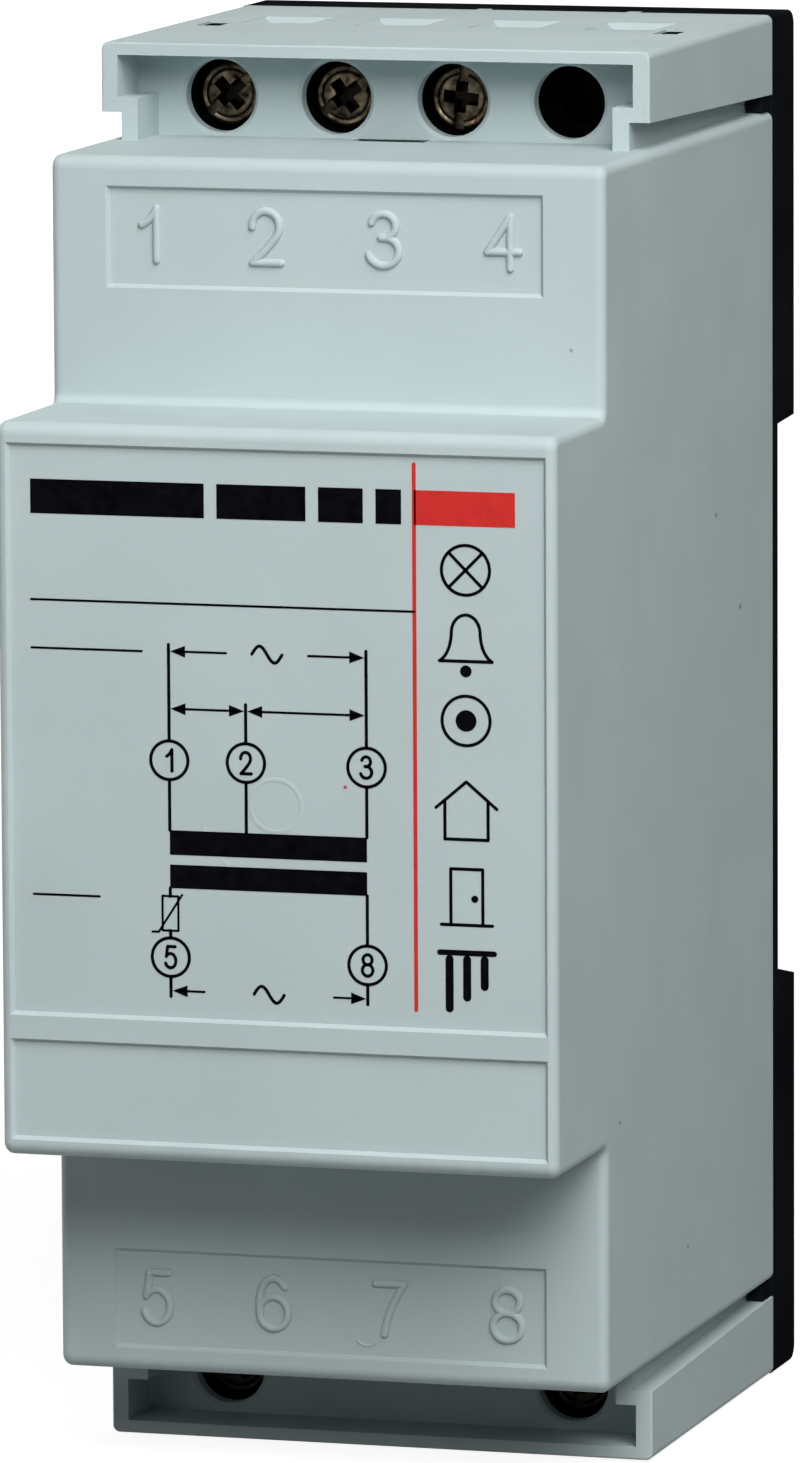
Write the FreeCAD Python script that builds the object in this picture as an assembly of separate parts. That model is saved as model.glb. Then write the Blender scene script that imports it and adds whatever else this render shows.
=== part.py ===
import FreeCAD, Part
import math
import os
from FreeCAD import Vector

# Doorbell transformer for a 35 mm mounting rail, two modules wide.
# Millimetres. X runs across the width, -Y points out of the front, +Z is up.
# The origin is the middle of the rail seat: Y = 0 is the plane where the rail's flanges bear.

# Hood: outer sizes, all depths measured forward from the rail plane
width = 35.2
nose_depth = 51.9
shoulder_depth = 40.9
head_depth = 30.6
nose_height = 45.0
overall_height = 87.6
head_rise = 6.1
wall = 1.5
corner_radius = 0.8
step_radius = 0.6
side_edge_radius = 0.6
head_edge_radius = 0.45
head_rim_radius = 0.15

# Terminal heads of the hood
head_wall = 1.05
head_roof = 0.8
groove_inset = 1.3
groove_rear_height = 1.05
groove_front_height = 1.75
ledge_rise = 2.65
channel_depth = 4.3
screw_wall = 1.2
terminal_inset = 6.35
screw_rise = 2.5
bore_diameter = 4.55
bore_chamfer = 0.22
wire_entry_width = 4.4
entry_overlap = 0.8
entry_slope = 0.4
slit_width = 4.6
slit_length = 1.5
slit_undercut = 0.6
window_length = 3.4
window_width = 1.6
snap_inset = 2.7
snap_setback = 15.0

# Sunk fields on the front faces
field_depth = 0.3
field_draft = 0.22
field_side_rim = 0.6
field_top_rim = 1.25
field_bottom_rim = 1.0
bar_height = 1.45
bar_above_bottom = 7.25
number_field_width = 27.8
number_field_shift = -0.15
number_field_height = 6.25
number_field_margin = 1.62
number_field_drop = 0.2

# Keys between hood and base
tab_offsets = (-1.5, 8.4)
tab_width = 0.9
tab_height = 0.6
tab_length = 0.8
key_length = 2.0
fit = 0.1

# Base
base_floor = 1.3
foot_depth = 4.3
foot_edge_radius = 1.0
foot_side_radius = 0.25
base_wall = 2.0
rail_slot_height = 35.2
lower_lead_in = 0.9
upper_lead_in = 0.2
spigot_length = 2.7
spigot_wall = 1.4
spigot_gap = 0.2
arm_width = 1.3
arm_thickness = 1.2
arm_gap = 0.15
barb_rise = 0.85
barb_length = 2.8
rail_thickness = 1.0
rail_play = 0.3
hook_reach = 1.1
hook_width = 7.0
hook_offset = 10.0

# Rail latch and its spring
latch_width = 12.0
latch_neck_width = 9.4
latch_plate = 1.55
latch_gap = 0.2
latch_floor = 0.8
latch_nose_rise = 1.2
latch_nose_drop = 2.0
latch_end_gap = 0.2
latch_slot_width = 5.0
latch_slot_height = 1.4
latch_slot_margin = 1.6
latch_web = 3.0
spring_length = 9.4
spring_span = 2.8
spring_wire = 0.5
spring_runs = 6
spring_bend = 0.45
spring_seat_height = 1.5
spring_seat_width = 3.0
spring_window_width = 3.8

# Terminals
head_sink = 0.7
screw_head_diameter = 4.0
screw_head_height = 1.9
screw_head_edge = 0.25
screw_shank_diameter = 3.0
screw_slot_width = 0.8
screw_slot_depth = 1.0
screw_tip_chamfer = 0.4
head_seat_gap = 0.15
head_seat_wall = 0.8
cage_travel = 3.2
cage_inner_width = 4.3
cage_wall = 0.6
cage_nut = 2.0
cage_rear = 1.0
cage_height = 4.6
cage_gap = 0.15
thread_gap = 0.1
shank_gap = 0.2
nut_bar_gap = 0.85
bar_thickness = 1.0
bar_width = 4.0
bar_tail = 4.3
bar_slot_gap = 0.05
wire_gap = 4.6

# Terminal carriers
carrier_floor = 1.2
carrier_gap = 0.3
carrier_setback = 2.0
carrier_notch = 1.45
rail_rib_width = 1.8
rail_rib_height = 1.05

# Core, coil former and windings
outer_leg = 8.0
core_window = 8.0
coil_room = 6.7
core_gap = 0.3
core_front_gap = 0.8
core_end_gap = 1.0
yoke_gap = 0.05
core_hole_diameter = 3.2
core_hole_inset = 4.0
former_gap = 0.2
former_wall = 1.0
flange_thickness = 1.0
flange_gap = 0.4
former_corner = 1.5
winding_fill = 4.5
winding_corner = 3.0
winding_gap = 0.05
tape_thickness = 0.3
tape_inset = 0.6

# Leads and thermistor
lead_diameter = 1.5
lead_bend = 3.0
lead_inset = 2.4
lead_solder = 3.2
lead_gap = 0.05
ptc_diameter = 7.0
ptc_thickness = 3.0
ptc_edge = 0.9
ptc_leg_diameter = 0.8
ptc_drop = 3.5

# Derived planes
half_width = width / 2
nose_half = nose_height / 2
overall_half = overall_height / 2
body_half = overall_half - head_rise
hood_rear = -base_floor
head_top = overall_half - head_roof
neck_outer = half_width - groove_inset
neck_inner = neck_outer - head_wall
head_inner = half_width - head_wall
ledge_height = body_half + ledge_rise
wall_front = channel_depth - head_depth
wall_back = wall_front + screw_wall
screw_height = body_half + screw_rise
terminal_pitch = 2 * (half_width - terminal_inset) / 3
snap_offset = half_width - snap_inset
snap_reach = head_depth - snap_setback
number_field_middle = body_half - number_field_margin - number_field_height / 2

carrier_front = wall_back + fit
head_front = carrier_front + head_sink
head_back = head_front + screw_head_height
seat_front = head_back + head_seat_gap
seat_back = seat_front + head_seat_wall
nut_front = seat_back + cage_gap + cage_travel
nut_back = nut_front + cage_nut
bar_front = nut_back + nut_bar_gap
bar_back = bar_front + bar_thickness
cage_rear_front = bar_back + wire_gap
cage_back = cage_rear_front + cage_rear
pocket_back = cage_back + cage_gap
carrier_back = hood_rear - carrier_setback
cage_half = cage_inner_width / 2 + cage_wall
pocket_half = cage_half + cage_gap
pocket_floor = screw_height - cage_height / 2 - cage_gap
carrier_bottom = pocket_floor - carrier_floor
carrier_half = neck_inner - carrier_gap
carrier_top = head_top - cage_gap

core_back = hood_rear - core_gap
core_front = wall + core_front_gap - nose_depth
core_centre = (core_front + core_back) / 2
lamination_width = core_back - core_front
lamination_height = nose_height - 2 * (wall + core_end_gap)
centre_leg = lamination_width - 2 * (outer_leg + core_window)
stack = width - 2 * (wall + flange_gap + coil_room)
window_half = lamination_height / 2 - outer_leg
flange_top = window_half - former_gap

slot_half = rail_slot_height / 2
latch_front = latch_floor + latch_gap
latch_neck = latch_front + latch_plate
latch_rear = foot_depth - latch_gap
latch_bottom = latch_end_gap - overall_half
latch_top = latch_nose_rise - slot_half
latch_slot_low = latch_bottom + latch_slot_margin
latch_slot_high = latch_slot_low + latch_slot_height
seat_bottom = latch_slot_high + latch_web
seat_top = seat_bottom + spring_seat_height
spring_top = seat_top + spring_length

TOP = "top"
BOTTOM = "bottom"
TERMINALS = {1: (TOP, -1.5), 2: (TOP, -0.5), 3: (TOP, 0.5), 5: (BOTTOM, -1.5), 8: (BOTTOM, 1.5)}
BORE_STEPS = {TOP: (-1.5, -0.5, 0.5, 1.5), BOTTOM: (-1.5, 1.5)}
SIDES = (-1, 1)


def on_yz(u, v):
    """Place profile coordinates on the YZ plane."""
    return Vector(0, u, v)


def on_xz(u, v):
    """Place profile coordinates on the XZ plane."""
    return Vector(u, 0, v)


def on_xy(u, v):
    """Place profile coordinates on the XY plane."""
    return Vector(u, v, 0)


def rounded_face(corners, place):
    """Face bounded by straight sides, each corner (u, v, radius) rounded by its own radius."""
    count = len(corners)
    points = [Vector(u, v, 0) for u, v, _ in corners]
    stops = []
    for i, (_, _, radius) in enumerate(corners):
        here = points[i]
        back = (points[i - 1] - here).normalize()
        ahead = (points[(i + 1) % count] - here).normalize()
        half_angle = back.getAngle(ahead) / 2
        reach = radius / math.tan(half_angle)
        inward = (back + ahead).normalize()
        middle = here + inward * (radius / math.sin(half_angle) - radius)
        stops.append((here + back * reach, middle, here + ahead * reach))
    edges = []
    for i, (start, middle, end) in enumerate(stops):
        a, m, b = [place(p.x, p.y) for p in (start, middle, end)]
        if corners[i][2] > 0:
            edges.append(Part.Arc(a, m, b).toShape())
        following = stops[(i + 1) % count][0]
        edges.append(Part.LineSegment(b, place(following.x, following.y)).toShape())
    return Part.Face(Part.Wire(edges))


def sharp(points):
    """Corners with no rounding."""
    return [(u, v, 0) for u, v in points]


def along_x(corners, low, high):
    """Prism of a YZ profile between two X planes."""
    face = rounded_face(corners, on_yz)
    face.translate(Vector(low, 0, 0))
    return face.extrude(Vector(high - low, 0, 0))


def along_y(corners, low, high):
    """Prism of an XZ profile between two Y planes."""
    face = rounded_face(corners, on_xz)
    face.translate(Vector(0, low, 0))
    return face.extrude(Vector(0, high - low, 0))


def along_z(corners, low, high):
    """Prism of an XY profile between two Z planes."""
    face = rounded_face(corners, on_xy)
    face.translate(Vector(0, 0, low))
    return face.extrude(Vector(0, 0, high - low))


def rectangle(u, v, radius=0):
    """Corners of a rectangle given as two (low, high) spans."""
    return [(u[0], v[0], radius), (u[1], v[0], radius), (u[1], v[1], radius), (u[0], v[1], radius)]


def block(x, y, z):
    """Plain block given as three (low, high) spans."""
    return Part.makeBox(x[1] - x[0], y[1] - y[0], z[1] - z[0], Vector(x[0], y[0], z[0]))


def rod_y(x, z, diameter, low, high):
    """Cylinder along Y."""
    return Part.makeCylinder(diameter / 2, high - low, Vector(x, low, z), Vector(0, 1, 0))


def around(centre, half):
    """Span of a given half size about a centre."""
    return (centre - half, centre + half)


def turned(shape, end):
    """Bring a shape modelled at the top end to the end named, by half a turn about Y."""
    placed = shape.copy()
    if end == BOTTOM:
        placed.rotate(Vector(0, 0, 0), Vector(0, 1, 0), 180)
    return placed


def at_terminal(shape, number):
    """Bring a terminal piece modelled on the middle of the top end to its numbered place."""
    end, step = TERMINALS[number]
    placed = turned(shape, end)
    placed.translate(Vector(step * terminal_pitch, 0, 0))
    return placed


def edges_where(shape, test):
    """Edges whose points all pass a test."""
    return [e for e in shape.Edges if all(test(p) for p in e.discretize(5))]


def close(a, b):
    """True where two lengths agree."""
    return abs(a - b) < 1e-5


def cut_all(shape, tools):
    """Cut every tool from a shape."""
    return shape.cut(Part.makeCompound(tools))


def fuse_all(shape, others):
    """Fuse pieces to a shape and merge the faces that run on."""
    return shape.multiFuse(others).removeSplitter()


# Hood


def body_and_nose():
    """Stepped block of the hood: a side profile with rounded steps and softened flanks."""
    profile = [
        (hood_rear, body_half, 0),
        (-shoulder_depth, body_half, corner_radius),
        (-shoulder_depth, nose_half, step_radius),
        (-nose_depth, nose_half, corner_radius),
        (-nose_depth, -nose_half, corner_radius),
        (-shoulder_depth, -nose_half, step_radius),
        (-shoulder_depth, -body_half, corner_radius),
        (hood_rear, -body_half, 0),
    ]
    solid = along_x(profile, -half_width, half_width)
    flank = edges_where(solid, lambda p: close(abs(p.x), half_width))
    rear = edges_where(solid, lambda p: close(p.y, hood_rear))
    flank = [e for e in flank if not any(e.isSame(r) for r in rear)]
    return solid.makeFillet(side_edge_radius, flank)


def terminal_head():
    """Outer form of one terminal head: a cap on a narrower neck, with a groove that widens forward."""
    groove_low = body_half + groove_rear_height
    groove_high = body_half + groove_front_height
    root = body_half - wall
    profile = [
        (-neck_outer, root, 0),
        (neck_outer, root, 0),
        (neck_outer, groove_low, 0),
        (half_width, groove_low, 0),
        (half_width, overall_half, head_edge_radius),
        (-half_width, overall_half, head_edge_radius),
        (-half_width, groove_low, 0),
        (-neck_outer, groove_low, 0),
    ]
    solid = along_y(profile, -head_depth, hood_rear)
    rim = edges_where(solid, lambda p: close(p.y, -head_depth) and p.z > groove_low - fit
                      and (close(abs(p.x), half_width) or p.z > overall_half - 2 * head_edge_radius))
    solid = solid.makeFillet(head_rim_radius, rim)
    slope = sharp([(-head_depth - wall, body_half), (hood_rear, body_half),
                   (hood_rear, groove_low), (-head_depth, groove_high), (-head_depth - wall, groove_high)])
    wedges = [along_x(slope, *sorted((s * neck_outer, s * (half_width + wall)))) for s in SIDES]
    return cut_all(solid, wedges)


def head_hollow(floor, front, back):
    """Hollow of a terminal head: narrow in the neck, wider above the ledge."""
    profile = sharp([
        (-neck_inner, floor),
        (neck_inner, floor),
        (neck_inner, ledge_height),
        (head_inner, ledge_height),
        (head_inner, head_top),
        (-head_inner, head_top),
        (-head_inner, ledge_height),
        (-neck_inner, ledge_height),
    ])
    return along_y(profile, front, back)


def body_hollow():
    """Room for the core and coil, open to the rear."""
    profile = sharp([
        (hood_rear + wall, body_half - wall),
        (wall - shoulder_depth, body_half - wall),
        (wall - shoulder_depth, nose_half - wall),
        (wall - nose_depth, nose_half - wall),
        (wall - nose_depth, wall - nose_half),
        (wall - shoulder_depth, wall - nose_half),
        (wall - shoulder_depth, wall - body_half),
        (hood_rear + wall, wall - body_half),
    ])
    return along_x(profile, wall - half_width, half_width - wall)


def sunk_field(x, z, face):
    """Shallow field sunk into a front face, its walls sloped out to the face."""
    floor = rounded_face(rectangle(around(sum(x) / 2, (x[1] - x[0]) / 2 - field_draft),
                                   around(sum(z) / 2, (z[1] - z[0]) / 2 - field_draft)), on_xz)
    mouth = rounded_face(rectangle(x, z), on_xz)
    floor.translate(Vector(0, face + field_depth, 0))
    mouth.translate(Vector(0, face, 0))
    return Part.makeLoft([mouth.OuterWire, floor.OuterWire], True)


def front_fields():
    """Label field, the field below its bar, and the two number fields on the shoulders."""
    field_x = around(0, half_width - field_side_rim)
    bar_low = bar_above_bottom - nose_half
    bar_high = bar_low + bar_height
    number_x = around(number_field_shift, number_field_width / 2)
    upper, lower = [around(s * number_field_middle - number_field_drop, number_field_height / 2)
                    for s in (1, -1)]
    return [
        sunk_field(field_x, (bar_high, nose_half - field_top_rim), -nose_depth),
        sunk_field(field_x, (field_bottom_rim - nose_half, bar_low), -nose_depth),
        sunk_field(number_x, upper, -shoulder_depth),
        sunk_field(number_x, lower, -shoulder_depth),
    ]


def screw_bore(x):
    """Screwdriver hole through the screw wall, with a chamfered mouth."""
    mouth = Part.makeCone(bore_diameter / 2 + bore_chamfer, bore_diameter / 2, bore_chamfer,
                          Vector(x, wall_front, screw_height), Vector(0, 1, 0))
    return rod_y(x, screw_height, bore_diameter, wall_front - fit, wall_back + fit).fuse(mouth)


def entry_lead_in(x, rear):
    """Slope over the rear edge of a wire entry that leads the wire in."""
    low = overall_half - entry_slope
    high = overall_half + fit
    profile = sharp([(rear - fit, low), (rear, low), (rear + high - low, high), (rear - fit, high)])
    return along_x(profile, *around(x, wire_entry_width / 2))


def head_openings(end):
    """Holes of one head: screw bores, wire entries and the windows of the snap hooks."""
    through = (head_top - fit, overall_half + fit)
    entry_y = (bar_back - entry_overlap, cage_rear_front)
    window_y = (-snap_reach - window_length / 2, window_length / 2 - snap_reach)
    tools = []
    for step in BORE_STEPS[end]:
        x = step * terminal_pitch
        tools.append(screw_bore(x))
        tools.append(block(around(x, wire_entry_width / 2), entry_y, through))
        tools.append(entry_lead_in(x, cage_rear_front))
    for side in SIDES:
        tools.append(block(around(side * snap_offset, window_width / 2), window_y, through))
    return [turned(t, end) for t in tools]


def floor_slit():
    """Slit through the upper recess's floor, in front of the screw wall and a little way under it."""
    return block(around(0, slit_width / 2), (wall_front - slit_length, wall_front + slit_undercut),
                 (body_half - wall - fit, body_half))


def carrier_rails():
    """Ribs along the hood's flanks that carry one terminal carrier."""
    top = carrier_bottom - fit
    reach = half_width - wall + fit
    span = (wall_back - fit, hood_rear - spigot_length - fit)
    return [block(sorted((s * (reach - rail_rib_width), s * reach)), span, (top - rail_rib_height, top))
            for s in SIDES]


def rear_tabs(gap):
    """Small tabs on the hood's rear edge that key into the base, grown by a gap for their notches."""
    return [block(around(x, tab_width / 2 + gap), (hood_rear - fit, hood_rear + tab_length + gap),
                  (overall_half - tab_height - gap, overall_half + gap)) for x in tab_offsets]


def make_hood():
    """One-piece moulded hood."""
    solid = fuse_all(body_and_nose(), [turned(terminal_head(), e) for e in (TOP, BOTTOM)])
    tools = [body_hollow()] + front_fields()
    for end in (TOP, BOTTOM):
        tools.append(turned(head_hollow(body_half, -head_depth - fit, wall_front), end))
        tools.append(turned(head_hollow(body_half - 2 * wall, wall_back, hood_rear + fit), end))
        tools.extend(head_openings(end))
    tools.append(floor_slit())
    for tool in tools:
        solid = solid.cut(tool)
    added = [turned(r, e) for e in (TOP, BOTTOM) for r in carrier_rails() + rear_tabs(0)]
    return fuse_all(solid, added)


# Base


def base_block():
    """Rear cover seen from the side: two feet with the rail slot between them."""
    profile = [
        (hood_rear, overall_half, 0),
        (hood_rear, -overall_half, 0),
        (foot_depth, -overall_half, foot_edge_radius),
        (foot_depth, -slot_half - lower_lead_in, 0),
        (0, -slot_half, 0),
        (0, slot_half, 0),
        (foot_depth, slot_half + upper_lead_in, 0),
        (foot_depth, overall_half, foot_edge_radius),
    ]
    solid = along_x(profile, -half_width, half_width)
    outer = slot_half + lower_lead_in
    flank = edges_where(solid, lambda p: close(abs(p.x), half_width) and p.y > hood_rear - fit
                        and (close(p.y, foot_depth) or abs(p.z) > outer))
    front = edges_where(solid, lambda p: close(p.y, hood_rear))
    flank = [e for e in flank if not any(e.isSame(f) for f in front)]
    return solid.makeFillet(foot_side_radius, flank)


def foot_pockets():
    """Hollows that keep the feet thin walled: one in the upper foot, two beside the latch below."""
    pocket_x = half_width - base_wall
    z_far = overall_half - base_wall
    z_near = slot_half + base_wall
    y = (hood_rear - fit, foot_depth - base_wall)
    guide = latch_width / 2 + latch_gap + base_wall
    pockets = [block((-pocket_x, pocket_x), y, (z_near, z_far))]
    low = (-z_far, -z_near - lower_lead_in)
    for side in SIDES:
        pockets.append(block(sorted((side * guide, side * pocket_x)), y, low))
    return pockets


def spigot():
    """Frame on the base that centres it inside the hood."""
    x_out = half_width - wall - spigot_gap
    z_out = body_half - wall - spigot_gap
    y = (hood_rear - spigot_length, hood_rear + fit)
    outer = block((-x_out, x_out), y, (-z_out, z_out))
    inner = block((spigot_wall - x_out, x_out - spigot_wall), (y[0] - fit, y[1] + fit),
                  (spigot_wall - z_out, z_out - spigot_wall))
    return outer.cut(inner)


def snap_arm(side):
    """Snap arm along the head's top wall, its barb standing in the hood's window."""
    top = head_top - arm_gap
    low = top - arm_thickness
    tip = -snap_reach - barb_length / 2
    profile = sharp([
        (hood_rear + fit, low),
        (tip, low),
        (tip, top),
        (tip + barb_length / 2, top + barb_rise),
        (tip + barb_length, top + barb_rise),
        (tip + barb_length, top),
        (hood_rear + fit, top),
    ])
    return along_x(profile, *around(side * snap_offset, arm_width / 2))


def groove_key(side):
    """Key that closes the rear end of the hood's side groove."""
    low = body_half + fit
    high = body_half + groove_rear_height - fit
    x = sorted((side * (neck_outer + fit), side * (half_width - fit)))
    return block(x, (hood_rear - key_length, hood_rear + fit), (low, high))


def carrier_stop():
    """Rib across a foot's pocket that holds a terminal carrier forward against the screw wall."""
    return block((-carrier_half, carrier_half), (carrier_back + fit, foot_depth - base_wall + fit),
                 around(screw_height, base_wall / 2))


def rail_hook(side):
    """Fixed hook that grips behind the rail's upper flange, sloped to let the rail in."""
    near = rail_thickness + rail_play
    profile = sharp([
        (near, slot_half + base_wall),
        (near, slot_half - hook_reach),
        (near + hook_reach, slot_half - hook_reach),
        (foot_depth, slot_half),
        (foot_depth, slot_half + base_wall),
    ])
    return along_x(profile, *around(side * hook_offset, hook_width / 2))


def latch_channel():
    """Undercut guide for the latch down the middle of the lower foot."""
    wide = latch_width / 2 + latch_gap
    neck = latch_neck_width / 2 + latch_gap
    step = latch_neck + latch_gap
    profile = sharp([
        (-wide, latch_floor), (wide, latch_floor), (wide, step), (neck, step),
        (neck, foot_depth + fit), (-neck, foot_depth + fit), (-neck, step), (-wide, step),
    ])
    return along_z(profile, -overall_half - fit, fit - slot_half)


def make_base():
    """One-piece moulded base."""
    solid = base_block()
    solid = cut_all(solid, foot_pockets())
    added = [spigot()]
    for end in (TOP, BOTTOM):
        added.append(turned(carrier_stop(), end))
        for side in SIDES:
            added.append(turned(snap_arm(side), end))
            added.append(turned(groove_key(side), end))
    added.extend(rail_hook(side) for side in SIDES)
    solid = fuse_all(solid, added)
    notches = [turned(t, e) for e in (TOP, BOTTOM) for t in rear_tabs(fit)]
    solid = cut_all(solid, notches + [latch_channel()])
    seat = block(around(0, spring_seat_width / 2), (latch_floor - fit, latch_rear - latch_gap),
                 (seat_bottom, seat_top))
    return fuse_all(solid, [seat])


# Rail latch


def make_latch():
    """Sliding latch: a guided plate with a sloped nose, a spring window and a slot for a screwdriver."""
    plate = along_x(sharp([(latch_front, latch_bottom), (latch_neck, latch_bottom),
                           (latch_neck, -slot_half - lower_lead_in), (latch_front, -slot_half - latch_gap)]),
                    -latch_width / 2, latch_width / 2)
    near = rail_thickness + rail_play
    neck = along_x(sharp([(near, latch_bottom), (latch_rear, latch_bottom),
                          (latch_rear, latch_top - latch_nose_drop), (near + fit, latch_top),
                          (near, latch_top)]),
                   -latch_neck_width / 2, latch_neck_width / 2)
    solid = fuse_all(plate, [neck])
    through = (latch_front - fit, latch_rear + fit)
    window = block(around(0, spring_window_width / 2), through, (seat_bottom - fit, spring_top + fit))
    slot = block(around(0, latch_slot_width / 2), through, (latch_slot_low, latch_slot_high))
    return cut_all(solid, [window, slot])


def make_latch_spring():
    """Serpentine wire spring between the base's seat and the top of the latch's window."""
    rise = (spring_length - spring_wire) / (spring_runs - 1)
    y = (latch_front + latch_rear) / 2
    start = seat_top + spring_wire / 2
    points = []
    for run in range(spring_runs):
        side = 1 if run % 2 else -1
        points.append(Vector(side * spring_span / 2, y, start + run * rise))
        points.append(Vector(-side * spring_span / 2, y, start + run * rise))
    return bent_rod(points, spring_wire, spring_bend * rise)


# Terminals, modelled on the middle of the top end


def make_screw():
    """Terminal screw: a turned head with a slot and a cross, and a plain shank."""
    head = screw_head_diameter / 2
    shank = screw_shank_diameter / 2
    tip = bar_front - head_seat_gap
    outline = [
        (0, head_front), (head - screw_head_edge, head_front), (head, head_front + screw_head_edge),
        (head, head_back), (shank, head_back), (shank, tip - screw_tip_chamfer),
        (shank - screw_tip_chamfer, tip), (0, tip),
    ]
    face = rounded_face(sharp(outline), on_xy)
    solid = face.revolve(Vector(0, 0, 0), Vector(0, 1, 0), 360)
    depth = (head_front - fit, head_front + screw_slot_depth)
    slot = block(around(0, head + fit), depth, around(0, screw_slot_width / 2))
    cross = block(around(0, screw_slot_width / 2), depth, around(0, head / 2))
    solid = cut_all(solid, [slot, cross])
    solid.translate(Vector(0, 0, screw_height))
    return solid


def make_cage():
    """Clamp cage: a bent ring with a thick nut side that the screw draws forward."""
    z = around(screw_height, cage_height / 2)
    ring = along_z(rectangle(around(0, cage_half), (nut_front, cage_back), cage_wall), *z)
    inside = along_z(rectangle(around(0, cage_inner_width / 2), (nut_back, cage_rear_front)),
                     z[0] - fit, z[1] + fit)
    hole = rod_y(0, screw_height, screw_shank_diameter + 2 * thread_gap, nut_front - fit, nut_back + fit)
    return cut_all(ring, [inside, hole])


def make_contact():
    """Contact bar: a flat strip through the carrier's floor, its tail reaching down to the leads."""
    strip = rectangle(around(0, bar_width / 2), (carrier_bottom - bar_tail, carrier_top - cage_gap),
                      bar_thickness / 2)
    return along_y(strip, bar_front, bar_back)


def make_carrier(end):
    """Terminal carrier: one moulding with a pocket, a screw seat and a bar slot at each place."""
    solid = block((-carrier_half, carrier_half), (carrier_front, carrier_back), (carrier_bottom, carrier_top))
    tools = []
    for step in BORE_STEPS[TOP]:
        x = step * terminal_pitch
        tools.append(block(around(x, pocket_half), (seat_back, pocket_back),
                           (pocket_floor, carrier_top + fit)))
        tools.append(rod_y(x, screw_height, bore_diameter, carrier_front - fit, seat_front))
        tools.append(rod_y(x, screw_height, screw_shank_diameter + 2 * shank_gap,
                           seat_front - fit, seat_back + fit))
        tools.append(block(around(x, bar_width / 2 + bar_slot_gap),
                           (bar_front - bar_slot_gap, bar_back + bar_slot_gap),
                           (carrier_bottom - fit, pocket_floor + fit)))
    notch_x = snap_offset - arm_width / 2 - fit
    for side in SIDES:
        tools.append(block(sorted((side * notch_x, side * (carrier_half + fit))),
                           (carrier_front - fit, carrier_back + fit),
                           (carrier_top - carrier_notch, carrier_top + fit)))
    for tool in tools:
        solid = solid.cut(tool)
    return turned(solid, end)


# Transformer


def core_holes(sides):
    """Fixing holes near the corners of the laminations."""
    y = lamination_width / 2 - core_hole_inset
    z = lamination_height / 2 - core_hole_inset
    return [Part.makeCylinder(core_hole_diameter / 2, stack + 2 * fit,
                              Vector(-stack / 2 - fit, core_centre + s * y, t * z), Vector(1, 0, 0))
            for s in SIDES for t in sides]


def make_e_stack():
    """Stack of E laminations, three legs up from the lower yoke."""
    y = [core_front, core_front + outer_leg, core_centre - centre_leg / 2,
         core_centre + centre_leg / 2, core_back - outer_leg, core_back]
    low = -lamination_height / 2
    root = low + outer_leg
    tip = window_half - yoke_gap
    outline = [
        (y[0], low), (y[5], low), (y[5], tip), (y[4], tip), (y[4], root), (y[3], root),
        (y[3], tip), (y[2], tip), (y[2], root), (y[1], root), (y[1], tip), (y[0], tip),
    ]
    return cut_all(along_x(sharp(outline), -stack / 2, stack / 2), core_holes((-1,)))


def make_i_stack():
    """Stack of I laminations that closes the legs."""
    bar = block((-stack / 2, stack / 2), (core_front, core_back), (window_half, lamination_height / 2))
    return cut_all(bar, core_holes((1,)))


def coil_section(margin, radius):
    """Section of the coil grown from the centre leg by a margin on every side."""
    return rectangle(around(0, stack / 2 + margin), around(core_centre, centre_leg / 2 + margin), radius)


def flange_section():
    """Section of the former's flanges, which fill the windows of the core."""
    return rectangle(around(0, half_width - wall - flange_gap),
                     around(core_centre, lamination_width / 2 - outer_leg - flange_gap), former_corner)


def make_former():
    """Two-chamber coil former: a square tube with end flanges and a partition."""
    tube = along_z(coil_section(former_gap + former_wall, former_gap), -flange_top, flange_top)
    levels = (-flange_top, -flange_thickness / 2, flange_top - flange_thickness)
    flanges = [along_z(flange_section(), z, z + flange_thickness) for z in levels]
    solid = fuse_all(tube, flanges)
    return solid.cut(along_z(coil_section(former_gap, 0), -flange_top - fit, flange_top + fit))


def chamber(side):
    """Height span of one winding chamber, the secondary above and the primary below."""
    inner = flange_thickness / 2 + winding_gap
    outer = flange_top - flange_thickness - winding_gap
    return sorted((side * inner, side * outer))


def wound_ring(inner, outer, span):
    """Closed ring wound on the former between two margins from the leg."""
    ring = along_z(coil_section(outer, winding_corner), *span)
    return ring.cut(along_z(coil_section(inner, former_gap), span[0] - fit, span[1] + fit))


def make_winding(side):
    """One winding, filling its chamber."""
    inner = former_gap + former_wall + winding_gap
    return wound_ring(inner, inner + winding_fill, chamber(side))


def make_tape(side):
    """Insulating tape round one winding."""
    inner = former_gap + former_wall + 2 * winding_gap + winding_fill
    low, high = chamber(side)
    span = (low + tape_inset, high - tape_inset)
    ring = along_z(coil_section(inner + tape_thickness, winding_corner + tape_thickness), *span)
    return ring.cut(along_z(coil_section(inner, winding_corner), span[0] - fit, span[1] + fit))


# Leads


def bent_rod(points, diameter, bend):
    """Round rod along straight runs joined by tangent arcs."""
    edges = []
    start = points[0]
    for here, ahead in zip(points[1:-1], points[2:]):
        into = (start - here).normalize()
        out = (ahead - here).normalize()
        half_angle = into.getAngle(out) / 2
        reach = bend / math.tan(half_angle)
        middle = here + (into + out).normalize() * (bend / math.sin(half_angle) - bend)
        edges.append(Part.LineSegment(start, here + into * reach).toShape())
        edges.append(Part.Arc(here + into * reach, middle, here + out * reach).toShape())
        start = here + out * reach
    edges.append(Part.LineSegment(start, points[-1]).toShape())
    section = Part.Wire([Part.makeCircle(diameter / 2, points[0], points[1] - points[0])])
    return Part.Wire(edges).makePipeShell([section], True, False)


def solder_line(number, diameter):
    """X and Y of a lead that runs up the front of a contact bar's tail."""
    return TERMINALS[number][1] * terminal_pitch, bar_front - diameter / 2 - lead_gap


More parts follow.
